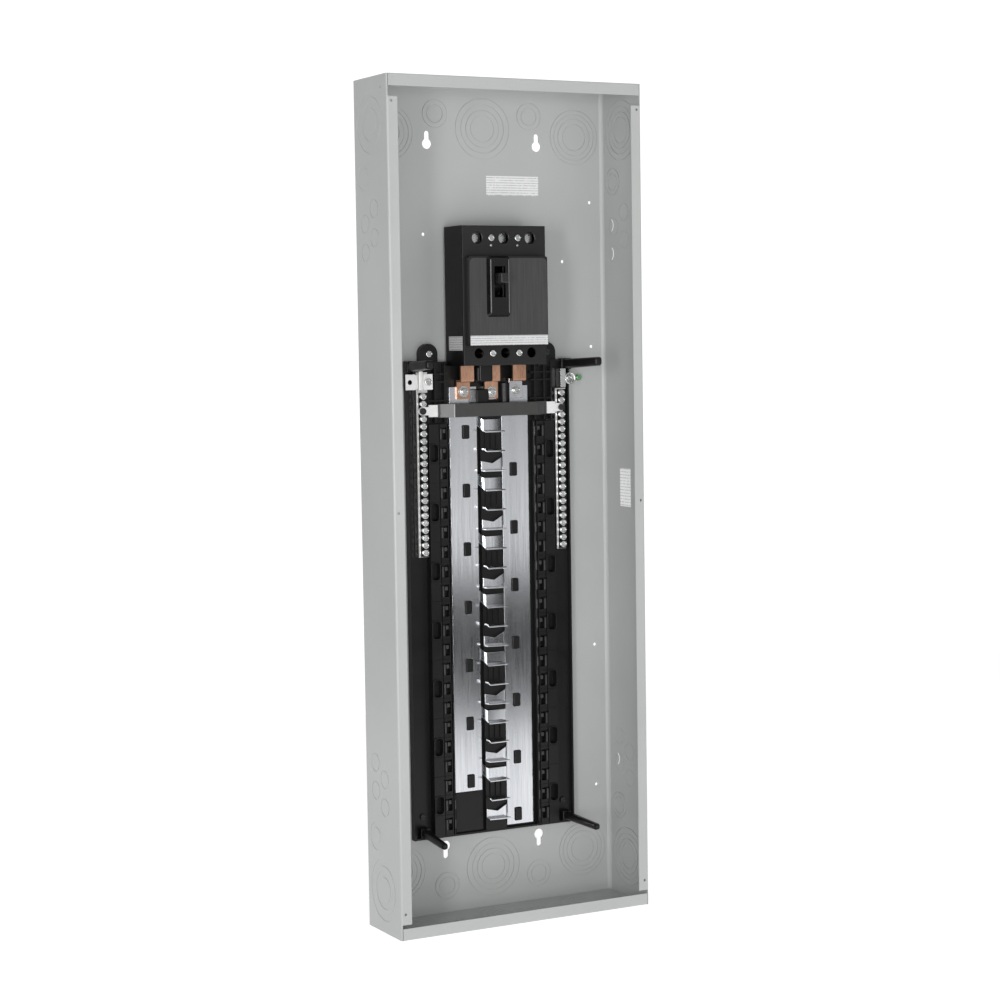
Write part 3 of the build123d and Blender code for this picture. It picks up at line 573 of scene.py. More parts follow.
# lighter black for the rail hooks and cheeks: a painted highlight, the sheen their raised edges catch
hookSheenBlack = makeBlack("hookSheenMoulding", grey(0.018), (0.045, 0.045, 0.043), 0.3, 0.5)
# white for the arcs of light seen through the knockout slits: painted light
paintedSlitLight = makeBlack("paintedSlitLight", grey(0.88), grey(0.93), 0.3, 0.5)
# pale grey for the sleeve's crease: a painted highlight
creaseHighlight = makeBlack("creaseHighlight", grey(0.3), grey(0.5), 0.2, 0.6)
# lighter grey for the bezel's edge strips: a painted highlight
bezelEdgeHighlight = makeBlack("bezelEdgeHighlight", grey(0.10), grey(0.2), 0.2, 0.6)
for part in frame["record"]["subparts"]:
    node = frame["nodes"][part["node"]]
    finish = ownFinishes.get(part["node"], finishes[part["material_slot"]])
    if not node.material_slots:
        node.data.materials.append(finish)
    for held in node.material_slots:
        held.material = finish

busSettings = {
    "inner": 18.3,
    "outer": 57.5,
    "back": -6.0,
    "front": -9.0,
    "top": 151.0,
    "tail": 13.2,
    "windowX": 34.6,
    "windowHalf": 5,
    "windowY": (-3, -12),
    "windowTall": 8.8,
    "firstStab": 92.5,
    "pitch": 25.4,
    "groups": 7,
}
groupPitch = 3 * busSettings["pitch"]
stabZs = {}
for order, phase in enumerate("ABC"):
    first = busSettings["firstStab"] - order * busSettings["pitch"]
    stabZs[phase] = [first - groupPitch * k for k in range(busSettings["groups"])]
stabSettings = {
    "left": -12,
    "front": -17.0,
    "thick": 2,
    "top": 16,
    "reach": 15.2,
    "lean": 2.2,
    "bladeHalf": 1,
    "bladeTip": -26.0,
    "flare": (-3.0, 0, 0),
    "curl": [(-2.4, 0.9, 0), (-1.9, 2.0, 0), (-1.4, 3.0, 0), (-1.2, 2.6, 0)],
    # each ring of the curl, with the rise of its upper and of its lower edge
    "rises": [
        (-14.9, -13.9, 0.8, 3.0),
        (-16.8, -15.8, 2.6, 6.0),
        (-18.2, -17.2, 4.6, 8.0),
        (-19.5, -18.5, 6.4, 9.0),
    ],
    "veeFrom": 10,
    "veeDrop": (0, 0, -3.4),
    "veeDepth": (0, 0, -3.2),
}


def makeStab(name, side):
    # at height zero: the tab leaves the bus on its side, crosses the middle and turns into the blade
    v = stabSettings
    left, front, tip, half = v["left"], v["front"], v["bladeTip"], v["bladeHalf"]
    middle = v["top"] / 2
    tab = addBlock(name, (left, 0), (front, front + v["thick"]), (-half, v["top"]))
    # far half leans back a little from the ridge in the middle
    pick(tab, "FACE", lambda c, n: n.x > 0.9)
    pull((v["reach"], v["lean"], 0))
    # near end turns back into the bus through a wide curl
    pick(tab, "FACE", lambda c, n: n.x < -0.9 and c.x < left + 1)
    for step in v["curl"]:
        pull(step)
    done()
    for low, high, lift, drop in v["rises"]:
        pick(tab, "VERT", lambda c, n: low < c.x < high and c.z > middle)
        shift((0, 0, lift))
        pick(tab, "VERT", lambda c, n: low < c.x < high and c.z < middle)
        shift((0, 0, drop))
    done()
    # the lower edge of the flat part turns forward into the blade
    editAll(tab)
    bpy.ops.mesh.bisect(plane_co=(0, 0, half * mm), plane_no=(0, 0, 1))
    pick(tab, "FACE", lambda c, n: n.y < -0.8 and c.z < half and c.x > left - 0.5)
    pull((0, tip - front, 0))
    pick(tab, "VERT", lambda c, n: c.y < tip + 3 and c.x < left + 1)
    shift(v["flare"])
    done()
    if side > 0:
        # the other bus comes from the right, with a vee in the tab's upper edge
        focus(tab)
        bpy.ops.transform.mirror(constraint_axis=(True, False, False))
        bpy.ops.object.transform_apply(location=True, rotation=True, scale=True)
        pick(tab, "VERT", lambda c, n: c.z > v["veeFrom"] and c.x < 1)
        shift(v["veeDrop"])
        pick(tab, "VERT", lambda c, n: c.z > v["veeFrom"] and abs(c.x) < 1)
        shift(v["veeDepth"])
        done()
        editAll(tab)
        bpy.ops.mesh.normals_make_consistent(inside=False)
        done()
    return soften(tab, 0.6, 3, 30)


def makeBus(name, side, phase, node):
    v = busSettings
    zs = stabZs[phase]
    edges = (side * v["inner"], side * v["outer"])
    plate = addBlock(name, edges, (v["back"], v["front"]), (zs[-1] - v["tail"], v["top"]))
    middle = side * v["windowX"]
    across = (middle - v["windowHalf"], middle + v["windowHalf"])
    windows = []
    for z in zs:
        window = addBlock("window", across, v["windowY"], (z - v["windowTall"], z + v["windowTall"]))
        windows.append(soften(window, 1.2, 3))
    carve(plate, windows)
    soften(plate, 0.35, 2)
    stab = makeStab("stab", side)
    parts = [plate] + [copyAt(stab, (0, 0, z)) for z in zs]
    bpy.data.objects.remove(stab)
    finishPiece(joined(name, parts), "panel", finishes["tinned_bus"], [node])


middleSettings = {
    "half": 9,
    "back": -5.9,
    "front": -8.4,
    "bladeLeft": -12.5,
    "bladeHalf": 1,
    "farEnd": (15.2, 2.0, 0),
    "nearEnd": [(-1.6, 0.4, 1.0), (-1.1, 0.6, 1.9)],
    "neckHalf": 4,
    "neckY": (-8.3, -17.5),
    "footY": (-8.3, -14),
    "footBottom": 134,
}


def makeMiddleBus():
    v, side, tab = middleSettings, busSettings, stabSettings
    zs = stabZs["B"]
    across = (-v["half"], v["half"])
    thick = (-v["bladeHalf"], v["bladeHalf"])
    strip = addBlock("middleBus", across, (v["back"], v["front"]), (zs[-1] - side["tail"], side["top"]))
    blade = addBlock("blade", (v["bladeLeft"], 0), (tab["front"], tab["bladeTip"]), thick)
    pick(blade, "FACE", lambda c, n: n.x > 0.9)
    pull(v["farEnd"])
    pick(blade, "FACE", lambda c, n: n.x < -0.9)
    for step in v["nearEnd"]:
        pull(step)
    done()
    soften(blade, 0.45, 2, 30)
    neck = addBlock("neck", (-v["neckHalf"], v["neckHalf"]), v["neckY"], thick)
    stab = joined("stab", [blade, soften(neck, 0.3, 2)])
    foot = addBlock("foot", across, v["footY"], (v["footBottom"], side["top"]))
    parts = [strip, soften(foot, 0.4, 2)] + [copyAt(stab, (0, 0, z)) for z in zs]
    bpy.data.objects.remove(stab)
    finishPiece(joined("middleBus", parts), "panel", finishes["tinned_bus"], ["bus_b"])


makeBus("leftBus", -1, "A", "bus_a")
makeBus("rightBus", 1, "C", "bus_c")
makeMiddleBus()
print("bus bars made")

# the rim, step and rounding of a head are shares of its radius
headSettings = {"rim": 0.34, "step": 0.12, "dish": 0.5, "round": 0.16, "reach": 0.9, "slotDeep": 1.2}


def makeSlottedScrew(name, radius, seat, head, slotWidth, sides):
    # a pan head with a dished top and a slot, centred on the Y axis
    v = headSettings
    screw = addRod(name, radius, (0, (seat + head) / 2, 0), abs(head - seat), "Y", sides)
    pick(screw, "FACE", lambda c, n: n.y < -0.9)
    bpy.ops.mesh.inset(thickness=radius * v["rim"] * mm, depth=0)
    bpy.ops.mesh.inset(thickness=radius * v["step"] * mm, depth=-v["dish"] * mm)
    done()
    soften(screw, radius * v["round"], 2, 50)
    reach = radius * v["reach"]
    tall = (-slotWidth / 2, slotWidth / 2)
    slot = addBlock("slot", (-reach, reach), (head + v["slotDeep"], head - 1), tall)
    return carve(screw, [slot])


terminalSettings = {
    "x": 101.4,
    "top": 140.3,
    "pitch": 9.525,
    "count": 22,
    "tieIndex": 2,
    "radius": 4.3,
    "seat": -19.7,
    "head": -24.0,
}


def makeTerminalScrews():
    v = terminalSettings
    screw = makeSlottedScrew("terminalScrew", v["radius"], v["seat"], v["head"], 1.2, 16)
    parts = []
    for side in (-1, 1):
        for i in range(v["count"]):
            if i != v["tieIndex"]:
                parts.append(copyAt(screw, (side * v["x"], 0, v["top"] - v["pitch"] * i)))
    bpy.data.objects.remove(screw)
    made = joined("terminalScrewHeads", parts)
    finishPiece(made, "panel", finishes["zinc_screw"], ["terminal_screws"], 30)


boltSettings = {
    "places": [(-38.1, -12.0, 145.0), (0, -17.0, 143.6), (38.1, -12.0, 145.0)],
    "head": 4.2,
    "headTall": 3.6,
    "washer": 7.4,
    "washerTall": 1.0,
    "collarOut": 0.9,
    "collarDrop": 1.4,
}


def makeStrapBolts():
    # washers with dished, slotted heads on them
    v = boltSettings
    tall = v["washerTall"]
    parts = []
    for x, seat, z in v["places"]:
        washer = soften(addRod("washer", v["washer"], (x, seat - tall / 2, z), tall, "Y", 32), 0.3)
        head = makeSlottedScrew("boltHead", v["head"], 0, -v["headTall"], 1.2, 24)
        moveMesh(head, (x, seat - tall, z))
        collarPlace = (x, seat - v["collarDrop"], z)
        collar = soften(addRod("collar", v["head"] + v["collarOut"], collarPlace, tall, "Y", 32), 0.3)
        parts += [washer, collar, head]
    made = joined("strapBolts", parts)
    finishPiece(made, "panel", finishes["zinc_screw"], ["strap_bolts"], 30)


breakerScrewSettings = {
    "xs": (-19.05, 19.05),
    "zs": (340.5, 194.0),
    "radius": 4.3,
    "seat": -57.5,
    "head": -60.2,
    "rivet": 1.5,
    "rivetY": -57.9,
    "rivetZ": 331.0,
}


def makeBreakerScrews():
    v = breakerScrewSettings
    parts = []
    for x in v["xs"]:
        for z in v["zs"]:
            head = makeSlottedScrew("breakerScrew", v["radius"], v["seat"], v["head"], 1.1, 24)
            parts.append(moveMesh(head, (x, 0, z)))
        # a small bright rivet under each upper screw
        parts.append(soften(addRod("rivet", v["rivet"], (x, v["rivetY"], v["rivetZ"]), 1.0, "Y", 14), 0.3))
    made = joined("breakerScrewHeads", parts)
    finishPiece(made, "panel", finishes["zinc_screw"], ["breaker_screws"], 30)


lugScrewSettings = {
    "xs": (-38.1, 0, 38.1),
    "z": 340.5,
    "radius": 6.4,
    "seat": -44.3,
    "front": -49.5,
    "ribs": 5,
    "ribPitch": 2.4,
    "ribHalf": 0.62,
    "ribReach": 7,
    "ribDeep": 1.5,
    "ribTurn": 28,
    "stem": 4.6,
    "stemY": -41.4,
    "stemLong": 5.9,
}


def makeLugScrews():
    # set screws deep in their holes, with a ribbed face
    v = lugScrewSettings
    seat, front = v["seat"], v["front"]
    screw = addRod("lugScrew", v["radius"], (0, (seat + front) / 2, 0), abs(front - seat), "Y", 28)
    soften(screw, 0.7, 2, 50)
    reach = (-v["ribReach"], v["ribReach"])
    grooves = []
    for i in range(v["ribs"]):
        z = (i - (v["ribs"] - 1) / 2) * v["ribPitch"]
        tall = (z - v["ribHalf"], z + v["ribHalf"])
        groove = addBlock("groove", reach, (front + v["ribDeep"], front - 1), tall)
        focus(groove)
        turn = math.radians(v["ribTurn"])
        bpy.ops.transform.rotate(value=turn, orient_axis="Y", center_override=(0, 0, 0))
        grooves.append(settle(groove))
    carve(screw, grooves)
    stem = addRod("stem", v["stem"], (0, v["stemY"], 0), v["stemLong"], "Y", 20)
    whole = joined("lugScrew", [screw, stem])
    parts = [copyAt(whole, (x, 0, v["z"])) for x in v["xs"]]
    bpy.data.objects.remove(whole)
    made = joined("lineLugScrews", parts)
    finishPiece(made, "panel", finishes["zinc_screw"], ["line_lug_screws"], 30)


baseScrewSettings = {
    "bright": (-86.7, -10.0, 194.1),
    "black": [(86.7, -10.0, 194.1), (-104.0, -5.8, -405.0), (104.0, -5.8, -405.0)],
    "radius": 4.2,
    "tall": 2.8,
    "pad": ((28.2, 48.0), (-9.2, -12.7), (134.8, 160.8)),
}


def makeBaseScrews():
    # one bright screw in the left ear, the others are blackened
    v = baseScrewSettings
    heads = []
    for place in [v["bright"]] + v["black"]:
        head = makeSlottedScrew("baseScrew", v["radius"], 0, -v["tall"], 1.1, 24)
        heads.append(moveMesh(head, place))
    finishPiece(heads[0], "panel", finishes["zinc_screw"], ["interior_screws"], 30)
    rest = joined("blackScrews", heads[1:])
    finishPiece(rest, "panel", finishes["dark_screw"], (), 30)
    # tinned pad over the foot of the right strap
    pad = soften(addBlock("strapPad", *v["pad"]), 0.4)
    finishPiece(pad, "panel", finishes["tinned_bus"], (), 35)


makeTerminalScrews()
makeStrapBolts()
makeBreakerScrews()
makeLugScrews()
makeBaseScrews()
print("screws made")

# widths run outwards from the middle, depths and heights from the front and from the slot
railSettings = {
    "inner": 62.0,
    "outer": 92.0,
    "back": -5.8,
    "front": -17.5,
    "top": 104.0,
    "bottom": -431.0,
    "channel": (63.6, 65.2),
    "channelDeep": 3.5,
    "line": (76.4, 77.4),
    "lineDeep": 2.2,
    "slot": (66.5, 73.0),
    "slotDeep": 8,
    "slotZ": (-8.6, 6.4),
    "lip": (66.5, 78.4),
    "lipDeep": 3.2,
    "lipZ": (-0.4, 1.8),
    "seam": (61, 93),
    "seamDeep": 0.8,
    "seamZ": (11.8, 12.6),
    "hook": (67.2, 71.4),
    "hookY": (4.4, 1.0),
    "hookZ": (-6.5, -1.4),
    "cheeks": [((73.6, 76.0), 0.5, -0.8), ((61.9, 63.5), 1.5, -1.5)],
    "cheekY": (0.4, -1.1),
    "pocket": (79.2, 90.6),
    "pocketZ": 11.2,
    "pocketDeep": 9,
    "pocketRound": 4.4,
    "rim": (77.7, 92.0),
    "rimOut": 1.5,
    "rimRound": 5.6,
}


def makeRail(name, side, node):
    v = railSettings
    front = v["front"]

    def across(key):
        return [side * edge for edge in v[key]]

    def inset(depth, out=1):
        return (front + depth, front - out)

    width = (side * v["inner"], side * v["outer"])
    body = addBlock(name, width, (v["back"], front), (v["bottom"], v["top"]))
    length = (v["bottom"] - 1, v["top"] + 1)
    lines = [addBlock("channel", across("channel"), inset(v["channelDeep"]), length)]
    lines.append(addBlock("line", across("line"), inset(v["lineDeep"]), length))
    slots, lips, seams, pockets, floors, bars = [], [], [], [], [], []
    hookY = [front + y for y in v["hookY"]]
    cheekY = [front + y for y in v["cheekY"]]
    for phase in "ABC":
        for z in stabZs[phase]:
            low, high = z + v["slotZ"][0], z + v["slotZ"][1]
            slots.append(addBlock("slot", across("slot"), inset(v["slotDeep"]), (low, high)))
            lipZ = [high + edge for edge in v["lipZ"]]
            lips.append(addBlock("lip", across("lip"), inset(v["lipDeep"]), lipZ))
            seamZ = [z + edge for edge in v["seamZ"]]
            seams.append(addBlock("seam", across("seam"), inset(v["seamDeep"]), seamZ))
            # hook across the slot and the two raised cheeks beside it
            hook = addBlock("hook", across("hook"), hookY, [high + edge for edge in v["hookZ"]])
            bars.append(soften(hook, 0.6, 2))
            for (near, far), under, over in v["cheeks"]:
                cheek = addBlock("cheek", (side * near, side * far), cheekY, (low + under, high + over))
                bars.append(soften(cheek, 0.5, 2))
    for z in stabZs["B"]:
        low, high = z - v["pocketZ"], z + v["pocketZ"]
        pocket = addBlock("pocket", across("pocket"), inset(v["pocketDeep"], 2), (low, high))
        roundEdges(pocket, v["pocketRound"], 5, lambda c, n: abs(n.y) > 0.9)
        rim = addBlock("rim", across("rim"), inset(1), (low - v["rimOut"], high + v["rimOut"]))
        roundEdges(rim, v["rimRound"], 6, lambda c, n: abs(n.y) > 0.9)
        carve(rim, [copyAt(pocket, (0, 0, 0))])
        floors.append(soften(rim, 0.45, 2, 50))
        pockets.append(pocket)
    for group in (slots, lips, seams, lines, pockets):
        carve(body, group)
    soften(body, 0.3, 2, 50)
    made = joined(name, [body] + floors)
    finishPiece(made, "panel", finishes["black_moulding"], [node], 35)
    # the hooks and cheeks take the lighter black: painted highlight
    lighterToneAndSheen = joined(name + "Hooks", bars)
    finishPiece(lighterToneAndSheen, "panel", hookSheenBlack, (), 35)


makeRail("leftRail", -1, "rail_left")
makeRail("rightRail", 1, "rail_right")
print("rails made")

# widths, depths and heights of each block round the middle strap
shroudSettings = {
    "left": ((-24.0, -5.4), (-5.8, -21.0), (129.2, 147.5)),
    "upper": ((-25.0, -10.0), (-12.0, -26.5), (156.5, 178.0)),
    "lap": ((-23.0, -3.6), (-24.5, -29.0), (157.5, 184.5)),
    "under": ((-17.6, 17.6), (-5.8, -12.5), (129.2, 133.4)),
    "behind": ((9.9, 26.0), (-5.8, -14.0), (129.2, 157.5)),
    "barrelPlace": (19.6, -15.2, 142.35),
    "barrelRadius": 7.0,
    "barrelLong": 26.3,
}


def makeShroud():
    v = shroudSettings
    left = soften(addBlock("left", *v["left"]), 1.6, 3)
    upper = soften(addBlock("upper", *v["upper"]), 3.4, 4)
    # a rounded cheek laps in front of the middle strap
    lap = soften(addBlock("lap", *v["lap"]), 2.0, 4)
    under = addBlock("under", *v["under"])
    barrel = addRod("barrel", v["barrelRadius"], v["barrelPlace"], v["barrelLong"], "Z", 40)
    soften(barrel, 1.2, 3, 50)
    behind = addBlock("behind", *v["behind"])
    made = joined("middleShroud", [left, upper, lap, under, barrel, behind])
    finishPiece(made, "panel", finishes["black_moulding"], ["head_insulator"], 35)


shadeBedSettings = {
    "out": (-4.9, 7.8),
    "depth": (-15.4, -17.2),
    "height": (-65.5, 144.6),
    "hole": 3.0,
    "tieHole": 4.5,
    "holeY": -16,
    "holeLong": 6,
}


def makeScrewShadeBeds():
    # a black bed under the terminal screws of each neutral bar: painted shade, a dark sheet where the recess
    # between and under the screws lies in shade
    v, screws = shadeBedSettings, terminalSettings
    parts = []
    for side in (-1, 1):
        x = side * screws["x"]
        shadeBed = addBlock("shadeBed", [x + edge for edge in v["out"]], v["depth"], v["height"])
        holes = []
        for i in range(screws["count"]):
            place = (x, v["holeY"], screws["top"] - screws["pitch"] * i)
            radius = v["tieHole"] if i == screws["tieIndex"] else v["hole"]
            holes.append(addRod("hole", radius, place, v["holeLong"], "Y", 16))
        carve(shadeBed, holes)
        parts.append(soften(shadeBed, 0.3, 1, 60))
    made = joined("screwShadeBeds", parts)
    finishPiece(made, "panel", finishes["black_moulding"], (), 35)


makeShroud()
makeScrewShadeBeds()
print("shroud and screw beds made")

bondingSettings = {
    "plate": ((101.8, 109.3), (-18.5, -20.0), (147.2, 172.0)),
    "riser": ((101.8, 109.3), (-7.0, -18.5), (147.2, 172.0)),
    "arm": ((109.3, 121.0), (-12.4, -14.2), (152.5, 166.5)),
    "bends": [(2.0, 0.8, 0), (0.8, 9.0, 0), (6.0, 1.6, 0)],
    "narrowing": 0.62,
    "foot": (12.4, 0, 0),
    "ringPlace": (118.4, -15.2, 159.2),
    "ringRadius": 7.0,
    "ringThick": 1.7,
    "studPlace": (116.5, -14.2, 159.2),
    "screwPlace": (138.2, -3.2, 159.6),
}


def makeBonding():
    # a plate on the right bar, its arm down to the box, and the green screw
    v = bondingSettings
    plate = soften(addBlock("plate", *v["plate"]), 0.3)
    riser = soften(addBlock("riser", *v["riser"]), 0.3)
    arm = addBlock("arm", *v["arm"])
    pick(arm, "FACE", lambda c, n: n.x > 0.9)
    for step in v["bends"]:
        pull(step)
    bpy.ops.transform.resize(value=(1, 1, v["narrowing"]))
    pull(v["foot"])
    done()
    soften(arm, 0.4, 2)
    ring = addRing(v["ringPlace"], "Y", v["ringRadius"], v["ringThick"], 40, 12)
    stud = moveMesh(makeSlottedScrew("stud", 3.6, 0, -2.6, 1.0, 20), v["studPlace"])
    made = joined("bondingStrap", [plate, riser, arm, ring, stud])
    finishPiece(made, "panel", finishes["zinc_screw"], ["bonding_strap"], 35)
    screw = moveMesh(makeSlottedScrew("bondingScrewHead", 3.5, 0, -3.4, 1.0, 20), v["screwPlace"])
    finishPiece(screw, "panel", finishes["green_screw"], ["bonding_screw"], 30)


neutralLugSettings = {
    "screwPlace": (-93.6, -21.0, 158.4),
    "plate": ((-124.5, -110.6), (-18.6, -20.2), (148.6, 168.6)),
    "holePlace": (-118.4, -19, 158.4),
    "hole": 3.1,
    "right": ((-99.4, -86.5), (-18.6, -20.8), (148.6, 168.6)),
    "clip": ((-107.6, -101.0), (-18.6, -23.4), (148.0, 172.8)),
    "under": ((-110.8, -99.0), (-18.5, -19.4), (149.6, 167.6)),
    "bead": ((-105.4, -103.2), (-23.2, -24.1), (150.5, 166.5)),
}


def makeNeutralLug():
    # a bent plate over the top of the left bar, with the clip that holds it down
    v = neutralLugSettings
    screw = moveMesh(makeSlottedScrew("neutralLugScrew", 4.9, 0, -2.6, 1.2, 28), v["screwPlace"])
    finishPiece(screw, "panel", finishes["zinc_screw"], ["neutral_lug_screw"], 30)
    plate = addBlock("lugPlate", *v["plate"])
    carve(plate, [addRod("hole", v["hole"], v["holePlace"], 8, "Y", 24)])
    soften(plate, 0.35)
    right = soften(addBlock("rightPlate", *v["right"]), 0.35)
    clip = soften(addBlock("clip", *v["clip"]), 1.6, 4)
    under = soften(addBlock("under", *v["under"]), 0.2)
    bead = soften(addBlock("bead", *v["bead"]), 0.4)
    made = joined("neutralLug", [plate, right, clip, under, bead])
    finishPiece(made, "panel", finishes["tinned_strap"], ["neutral_lug"], 35)


makeBonding()
makeNeutralLug()
print("bonding and neutral lug made")

# posts that stand out from the base's corners
postSettings = {
    "top": {"root": (113.0, -14.0, 178.0), "tip": (121.4, -83.0, 181.2), "thick": (12.4, 11.4)},
    "bottom": {"root": (105.5, -14.0, -424.5), "tip": (111.6, -83.0, -428.3), "thick": (10.2, 8.4)},
    "back": -4.6,
    "round": 3.2,
    "crown": [(-2.2, 0.82), (-1.2, 0.66)],
    "ribHalf": 0.9,
    "ribReach": (3, 1),
    "collarWide": 1.4,
    "collarTall": 1.2,
    "collarY": (-5, -16.2),
}


def makePost(name, side, level, node):
    v = postSettings
    x, front, z = v[level]["root"]
    tipX, tipY, tipZ = v[level]["tip"]
    x, tipX = side * x, side * tipX
    half, tipHalf = [thick / 2 for thick in v[level]["thick"]]
    post = addBlock(name, (x - half, x + half), (v["back"], front), (z - half, z + half))
    pick(post, "FACE", lambda c, n: n.y < -0.9)
    pull((tipX - x, tipY - front, tipZ - z))
    bpy.ops.transform.resize(value=(tipHalf / half, 1, tipHalf / half))
    done()
    roundEdges(post, v["round"], 4, lambda c, n: abs(n.y) > 0.8 and c.y < -6)
    pick(post, "FACE", lambda c, n: n.y < -0.9)
    for rise, share in v["crown"]:
        pull((0, rise, 0))
        bpy.ops.transform.resize(value=(share, 1, share))
    done()
    ribX = (x - v["ribHalf"], x + v["ribHalf"])
    under, over = v["ribReach"]
    rib = addBlock("rib", ribX, (-6, front - 8), (z - half - under, z + half + over))
    collarX = (x - half - v["collarWide"], x + half + v["collarWide"])
    collarZ = (z - half - v["collarTall"], z + half + v["collarTall"])
    collar = soften(addBlock("collar", collarX, v["collarY"], collarZ), 1.2, 3)
    made = joined(name, [post, soften(rib, 0.4), collar])
    finishPiece(made, "panel", finishes["black_moulding"], [node], 40)


makePost("topLeftPost", -1, "top", "post_top_left")
makePost("topRightPost", 1, "top", "post_top_right")
makePost("bottomLeftPost", -1, "bottom", "post_bottom_left")
makePost("bottomRightPost", 1, "bottom", "post_bottom_right")
print("posts made")

shutterSettings = {
    "place": (-15.3, -46.0, 285.0),
    "outer": 17.2,
    "inner": 15.8,
    "half": 7.6,
    "back": ((-40, 10), (-50.0, -16.0), (255.0, 315.0)),
}


def makeShutter():
    # curved shutter behind the bezel's slot, turning with the handle
    v = shutterSettings
    shell = addRod("handleShutter", v["outer"], v["place"], 2 * v["half"], "X", 64)
    bore = addRod("bore", v["inner"], v["place"], 40, "X", 64)
    back = addBlock("back", *v["back"])
    carve(shell, [bore])
    carve(shell, [back])
    finishPiece(shell, "handle", finishes["black_moulding"], (), 35)


# each edge has its side, its width and how far it stands out
bezelHighlightSettings = {
    "x": -15.3,
    "half": 12.9,
    "front": -74.0,
    "sink": 0.6,
    "height": (245.0, 312.5),
    "edges": [(-1, 1.5, 0.35), (1, 0.9, 0.45)],
}


def makeBezelEdgeHighlights():
    # painted highlights along the bezel's long edges: pale strips standing in for the shine of its rounded
    # edges
    v = bezelHighlightSettings
    edges = []
    for side, width, out in v["edges"]:
        x = v["x"] + side * v["half"]
        depth = (v["front"] + v["sink"], v["front"] - out)
        edge = addBlock("edge", (x - width / 2, x + width / 2), depth, v["height"])
        edges.append(soften(edge, 0.3, 2))
    made = joined("bezelEdgeHighlights", edges)
    finishPiece(made, "panel", bezelEdgeHighlight, (), 35)


makeShutter()
makeBezelEdgeHighlights()
print("shutter and bezel edges made")

creaseHighlightSettings = {"place": (-61.7, -32.0, 121.25), "radius": 0.6, "long": 16.6}


def makeSleeveCreaseHighlight():
    # a pale rod along the sleeve's bend: a painted highlight on its crease
    v = creaseHighlightSettings
    crease = addRod("sleeveCreaseHighlight", v["radius"], v["place"], v["long"], "Z", 16)
    finishPiece(crease, "panel", creaseHighlight, (), 40)


bendSettings = {
    "wall": 179.6,
    "back": -1.4,
    "reach": 4.6,
    "hollow": 2.9,
    "half": 535.9,
    "bent": (175.2, 179.4),
    "round": 1.4,
}


def makeBends():
    # the box's inside bends along both back corners
    v = bendSettings
    wall, back, hollow = v["wall"], v["back"], v["hollow"]
    near, far = v["bent"]
    bends = []
    for side in (-1, 1):
        x = (side * (wall - v["reach"]), side * wall)
        bend = addBlock("bend", x, (back, back - v["reach"]), (-v["half"], v["half"]))
        pick(bend, "VERT", lambda c, n: abs(c.x) < wall - 1 and c.y < back - 1)
        shift((side * hollow, hollow, 0))
        done()
        roundEdges(bend, v["round"], 5, lambda c, n: abs(n.z) > 0.9 and near < abs(c.x) < far and c.y < -2)
        bends.append(bend)
    made = joined("innerBends", bends)
    finishPiece(made, "panel", finishes["box_paint"], (), 80)


slitLightSettings = {
    "x": 179.4,
    "places": [(-29.0, 359.6), (-28.9, 322.2), (-29.6, -353.6)],
    "ring": 9.0,
    "thick": 0.55,
    "keep": 5.2,
}


def makeSlitLights():
    # painted light: thin white arcs where three small knockouts of the right side are pressed through,
    # standing in for the light seen through their narrow slits
    v = slitLightSettings
    slits = []
    for y, z in v["places"]:
        middle = y + v["ring"]
        slit = addRing((v["x"], middle, z), "X", v["ring"], v["thick"], 48, 8)
        pick(slit, "FACE", lambda c, n: c.y > middle - v["keep"])
        bpy.ops.mesh.delete(type="FACE")
        bpy.ops.mesh.select_all(action="SELECT")
        bpy.ops.mesh.fill_holes(sides=0)
        done()
        slits.append(slit)
    made = joined("knockoutSlitLights", slits)
    finishPiece(made, "panel", paintedSlitLight, (), 60)


makeSleeveCreaseHighlight()
makeBends()
makeSlitLights()
print("crease, bends and slits made")

cameraSettings = {
    "place": (-1.382352057263142, -2.6449708454190895, 0.21569226045988418),
    "azimuth": -0.48726355340989325,
    "elevation": 0.07156049310879212,
    "roll": -0.015013938407831117,
    "focal": 2287.3849932781222,
    "sensor": 36,
    "farthest": 60,
}


def makeCamera():
    v = cameraSettings
    a, e, r = v["azimuth"], v["elevation"], v["roll"]
    back = Vector((math.sin(a) * math.cos(e), -math.cos(a) * math.cos(e), math.sin(e)))
    right = (-back).cross(Vector((0, 0, 1))).normalized()
    up = right.cross(-back)
    across = math.cos(r) * right + math.sin(r) * up
    upward = -math.sin(r) * right + math.cos(r) * up
    turn = Matrix((across, upward, back)).transposed()
    data = bpy.data.cameras.new("camera")
    data.sensor_width = v["sensor"]
    data.lens = v["focal"] / 1000 * v["sensor"]
    data.clip_end = v["farthest"]
    camera = bpy.data.objects.new("camera", data)
    bpy.context.scene.collection.objects.link(camera)
    camera.matrix_world = Matrix.Translation(v["place"]) @ turn.to_4x4()
    bpy.context.scene.camera = camera


lightSettings = {
    "sky": 0.46,
    "keyPower": 46,
    "keyPlace": (-0.9, -3.5, -0.05),
    "keySize": 1.5,
    "stripPower": 42,
    "stripPlace": (-2.7, -2.5, 0.1),
    "stripSize": (0.5, 1.5),
    "floorSize": 9.0,
    "floorMiddle": -3.0,
    "floorGlow": 0.58,
    "cardY": -1.30,
    "cardX": (0.15, 1.7),
    "cardTop": -0.25,
    "cardThick": 4,
    "sideCardX": (1.2, 2.6),
    "sideCardY": -1.45,
    "sideCardTop": 1.7,
    "flagGrey": 0.02,
    "floorGrey": 0.93,
    "dullness": 0.9,
    "skyColour": (0.985, 0.99, 1, 1),
    "backdrop": 1.1,
    "aim": (0, 0, 0),
}


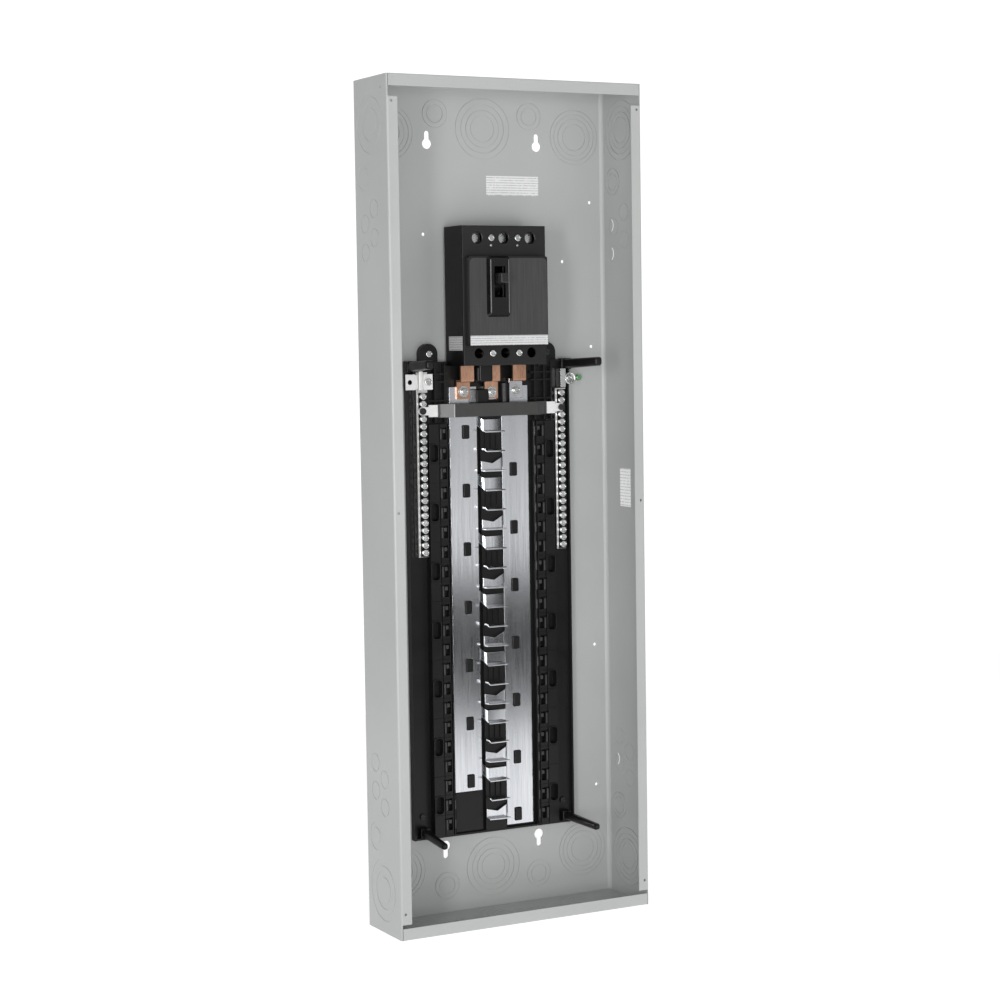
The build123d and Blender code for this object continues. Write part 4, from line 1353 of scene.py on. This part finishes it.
def addLight(name, place, size, power, aim):
    data = bpy.data.lights.new(name, "AREA")
    data.size = size
    data.energy = power
    lamp = bpy.data.objects.new(name, data)
    bpy.context.scene.collection.objects.link(lamp)
    lamp.location = place
    lamp.rotation_mode = "QUATERNION"
    lamp.rotation_quaternion = (Vector(aim) - Vector(place)).to_track_quat("-Z", "Y")
    return lamp


def plainFinish(name, colour, rough, glow=0.0):
    sheet = Finish(name)
    return sheet.surface(
        Base_Color=(*colour, 1),
        Roughness=rough,
        Specular_IOR_Level=0.0,
        Emission_Color=(1, 1, 1, 1),
        Emission_Strength=glow,
    )


def makeStudio():
    v = lightSettings
    clearSelection()
    bpy.ops.mesh.primitive_plane_add(size=v["floorSize"], location=(0, v["floorMiddle"], cadLow.z))
    floor = settle(bpy.context.object)
    floor.name = "floor"
    floor.data.materials.append(plainFinish("paleFloor", grey(v["floorGrey"]), v["dullness"], v["floorGlow"]))
    # a low dark flag stands front right, where only the metal mirrors it
    low = cadLow.z / mm
    cardX = [edge / mm for edge in v["cardX"]]
    cardY = v["cardY"] / mm
    card = addBlock("flag", cardX, (cardY, cardY - v["cardThick"]), (low, v["cardTop"] / mm))
    # a tall one further right darkens the far half of each tab
    sideX = [edge / mm for edge in v["sideCardX"]]
    sideY = v["sideCardY"] / mm
    sideCard = addBlock("sideFlag", sideX, (sideY, sideY - v["cardThick"]), (low, v["sideCardTop"] / mm))
    flagCloth = plainFinish("flagCloth", grey(v["flagGrey"]), v["dullness"])
    for flag in (card, sideCard):
        flag.data.materials.append(flagCloth)
        flag.visible_camera = False
        flag.visible_diffuse = False
        flag.visible_shadow = False
    world = bpy.data.worlds.new("studio")
    bpy.context.scene.world = world
    world.use_nodes = True
    nodes, links = world.node_tree.nodes, world.node_tree.links
    nodes.clear()
    soft = nodes.new("ShaderNodeBackground")
    soft.inputs["Color"].default_value = v["skyColour"]
    soft.inputs["Strength"].default_value = v["sky"]
    plain = nodes.new("ShaderNodeBackground")
    plain.inputs["Strength"].default_value = v["backdrop"]
    plain.inputs["Color"].default_value = (1, 1, 1, 1)
    path = nodes.new("ShaderNodeLightPath")
    mixer = nodes.new("ShaderNodeMixShader")
    out = nodes.new("ShaderNodeOutputWorld")
    links.new(path.outputs["Is Camera Ray"], mixer.inputs[0])
    links.new(soft.outputs[0], mixer.inputs[1])
    links.new(plain.outputs[0], mixer.inputs[2])
    links.new(mixer.outputs[0], out.inputs[0])
    addLight("key", v["keyPlace"], v["keySize"], v["keyPower"], v["aim"])
    strip = addLight("strip", v["stripPlace"], v["stripSize"][0], v["stripPower"], v["aim"])
    strip.data.shape = "RECTANGLE"
    strip.data.size_y = v["stripSize"][1]
    bpy.context.scene.view_settings.view_transform = "Standard"
    bpy.context.scene.view_settings.look = "None"


makeCamera()
makeStudio()
print("camera and studio set")
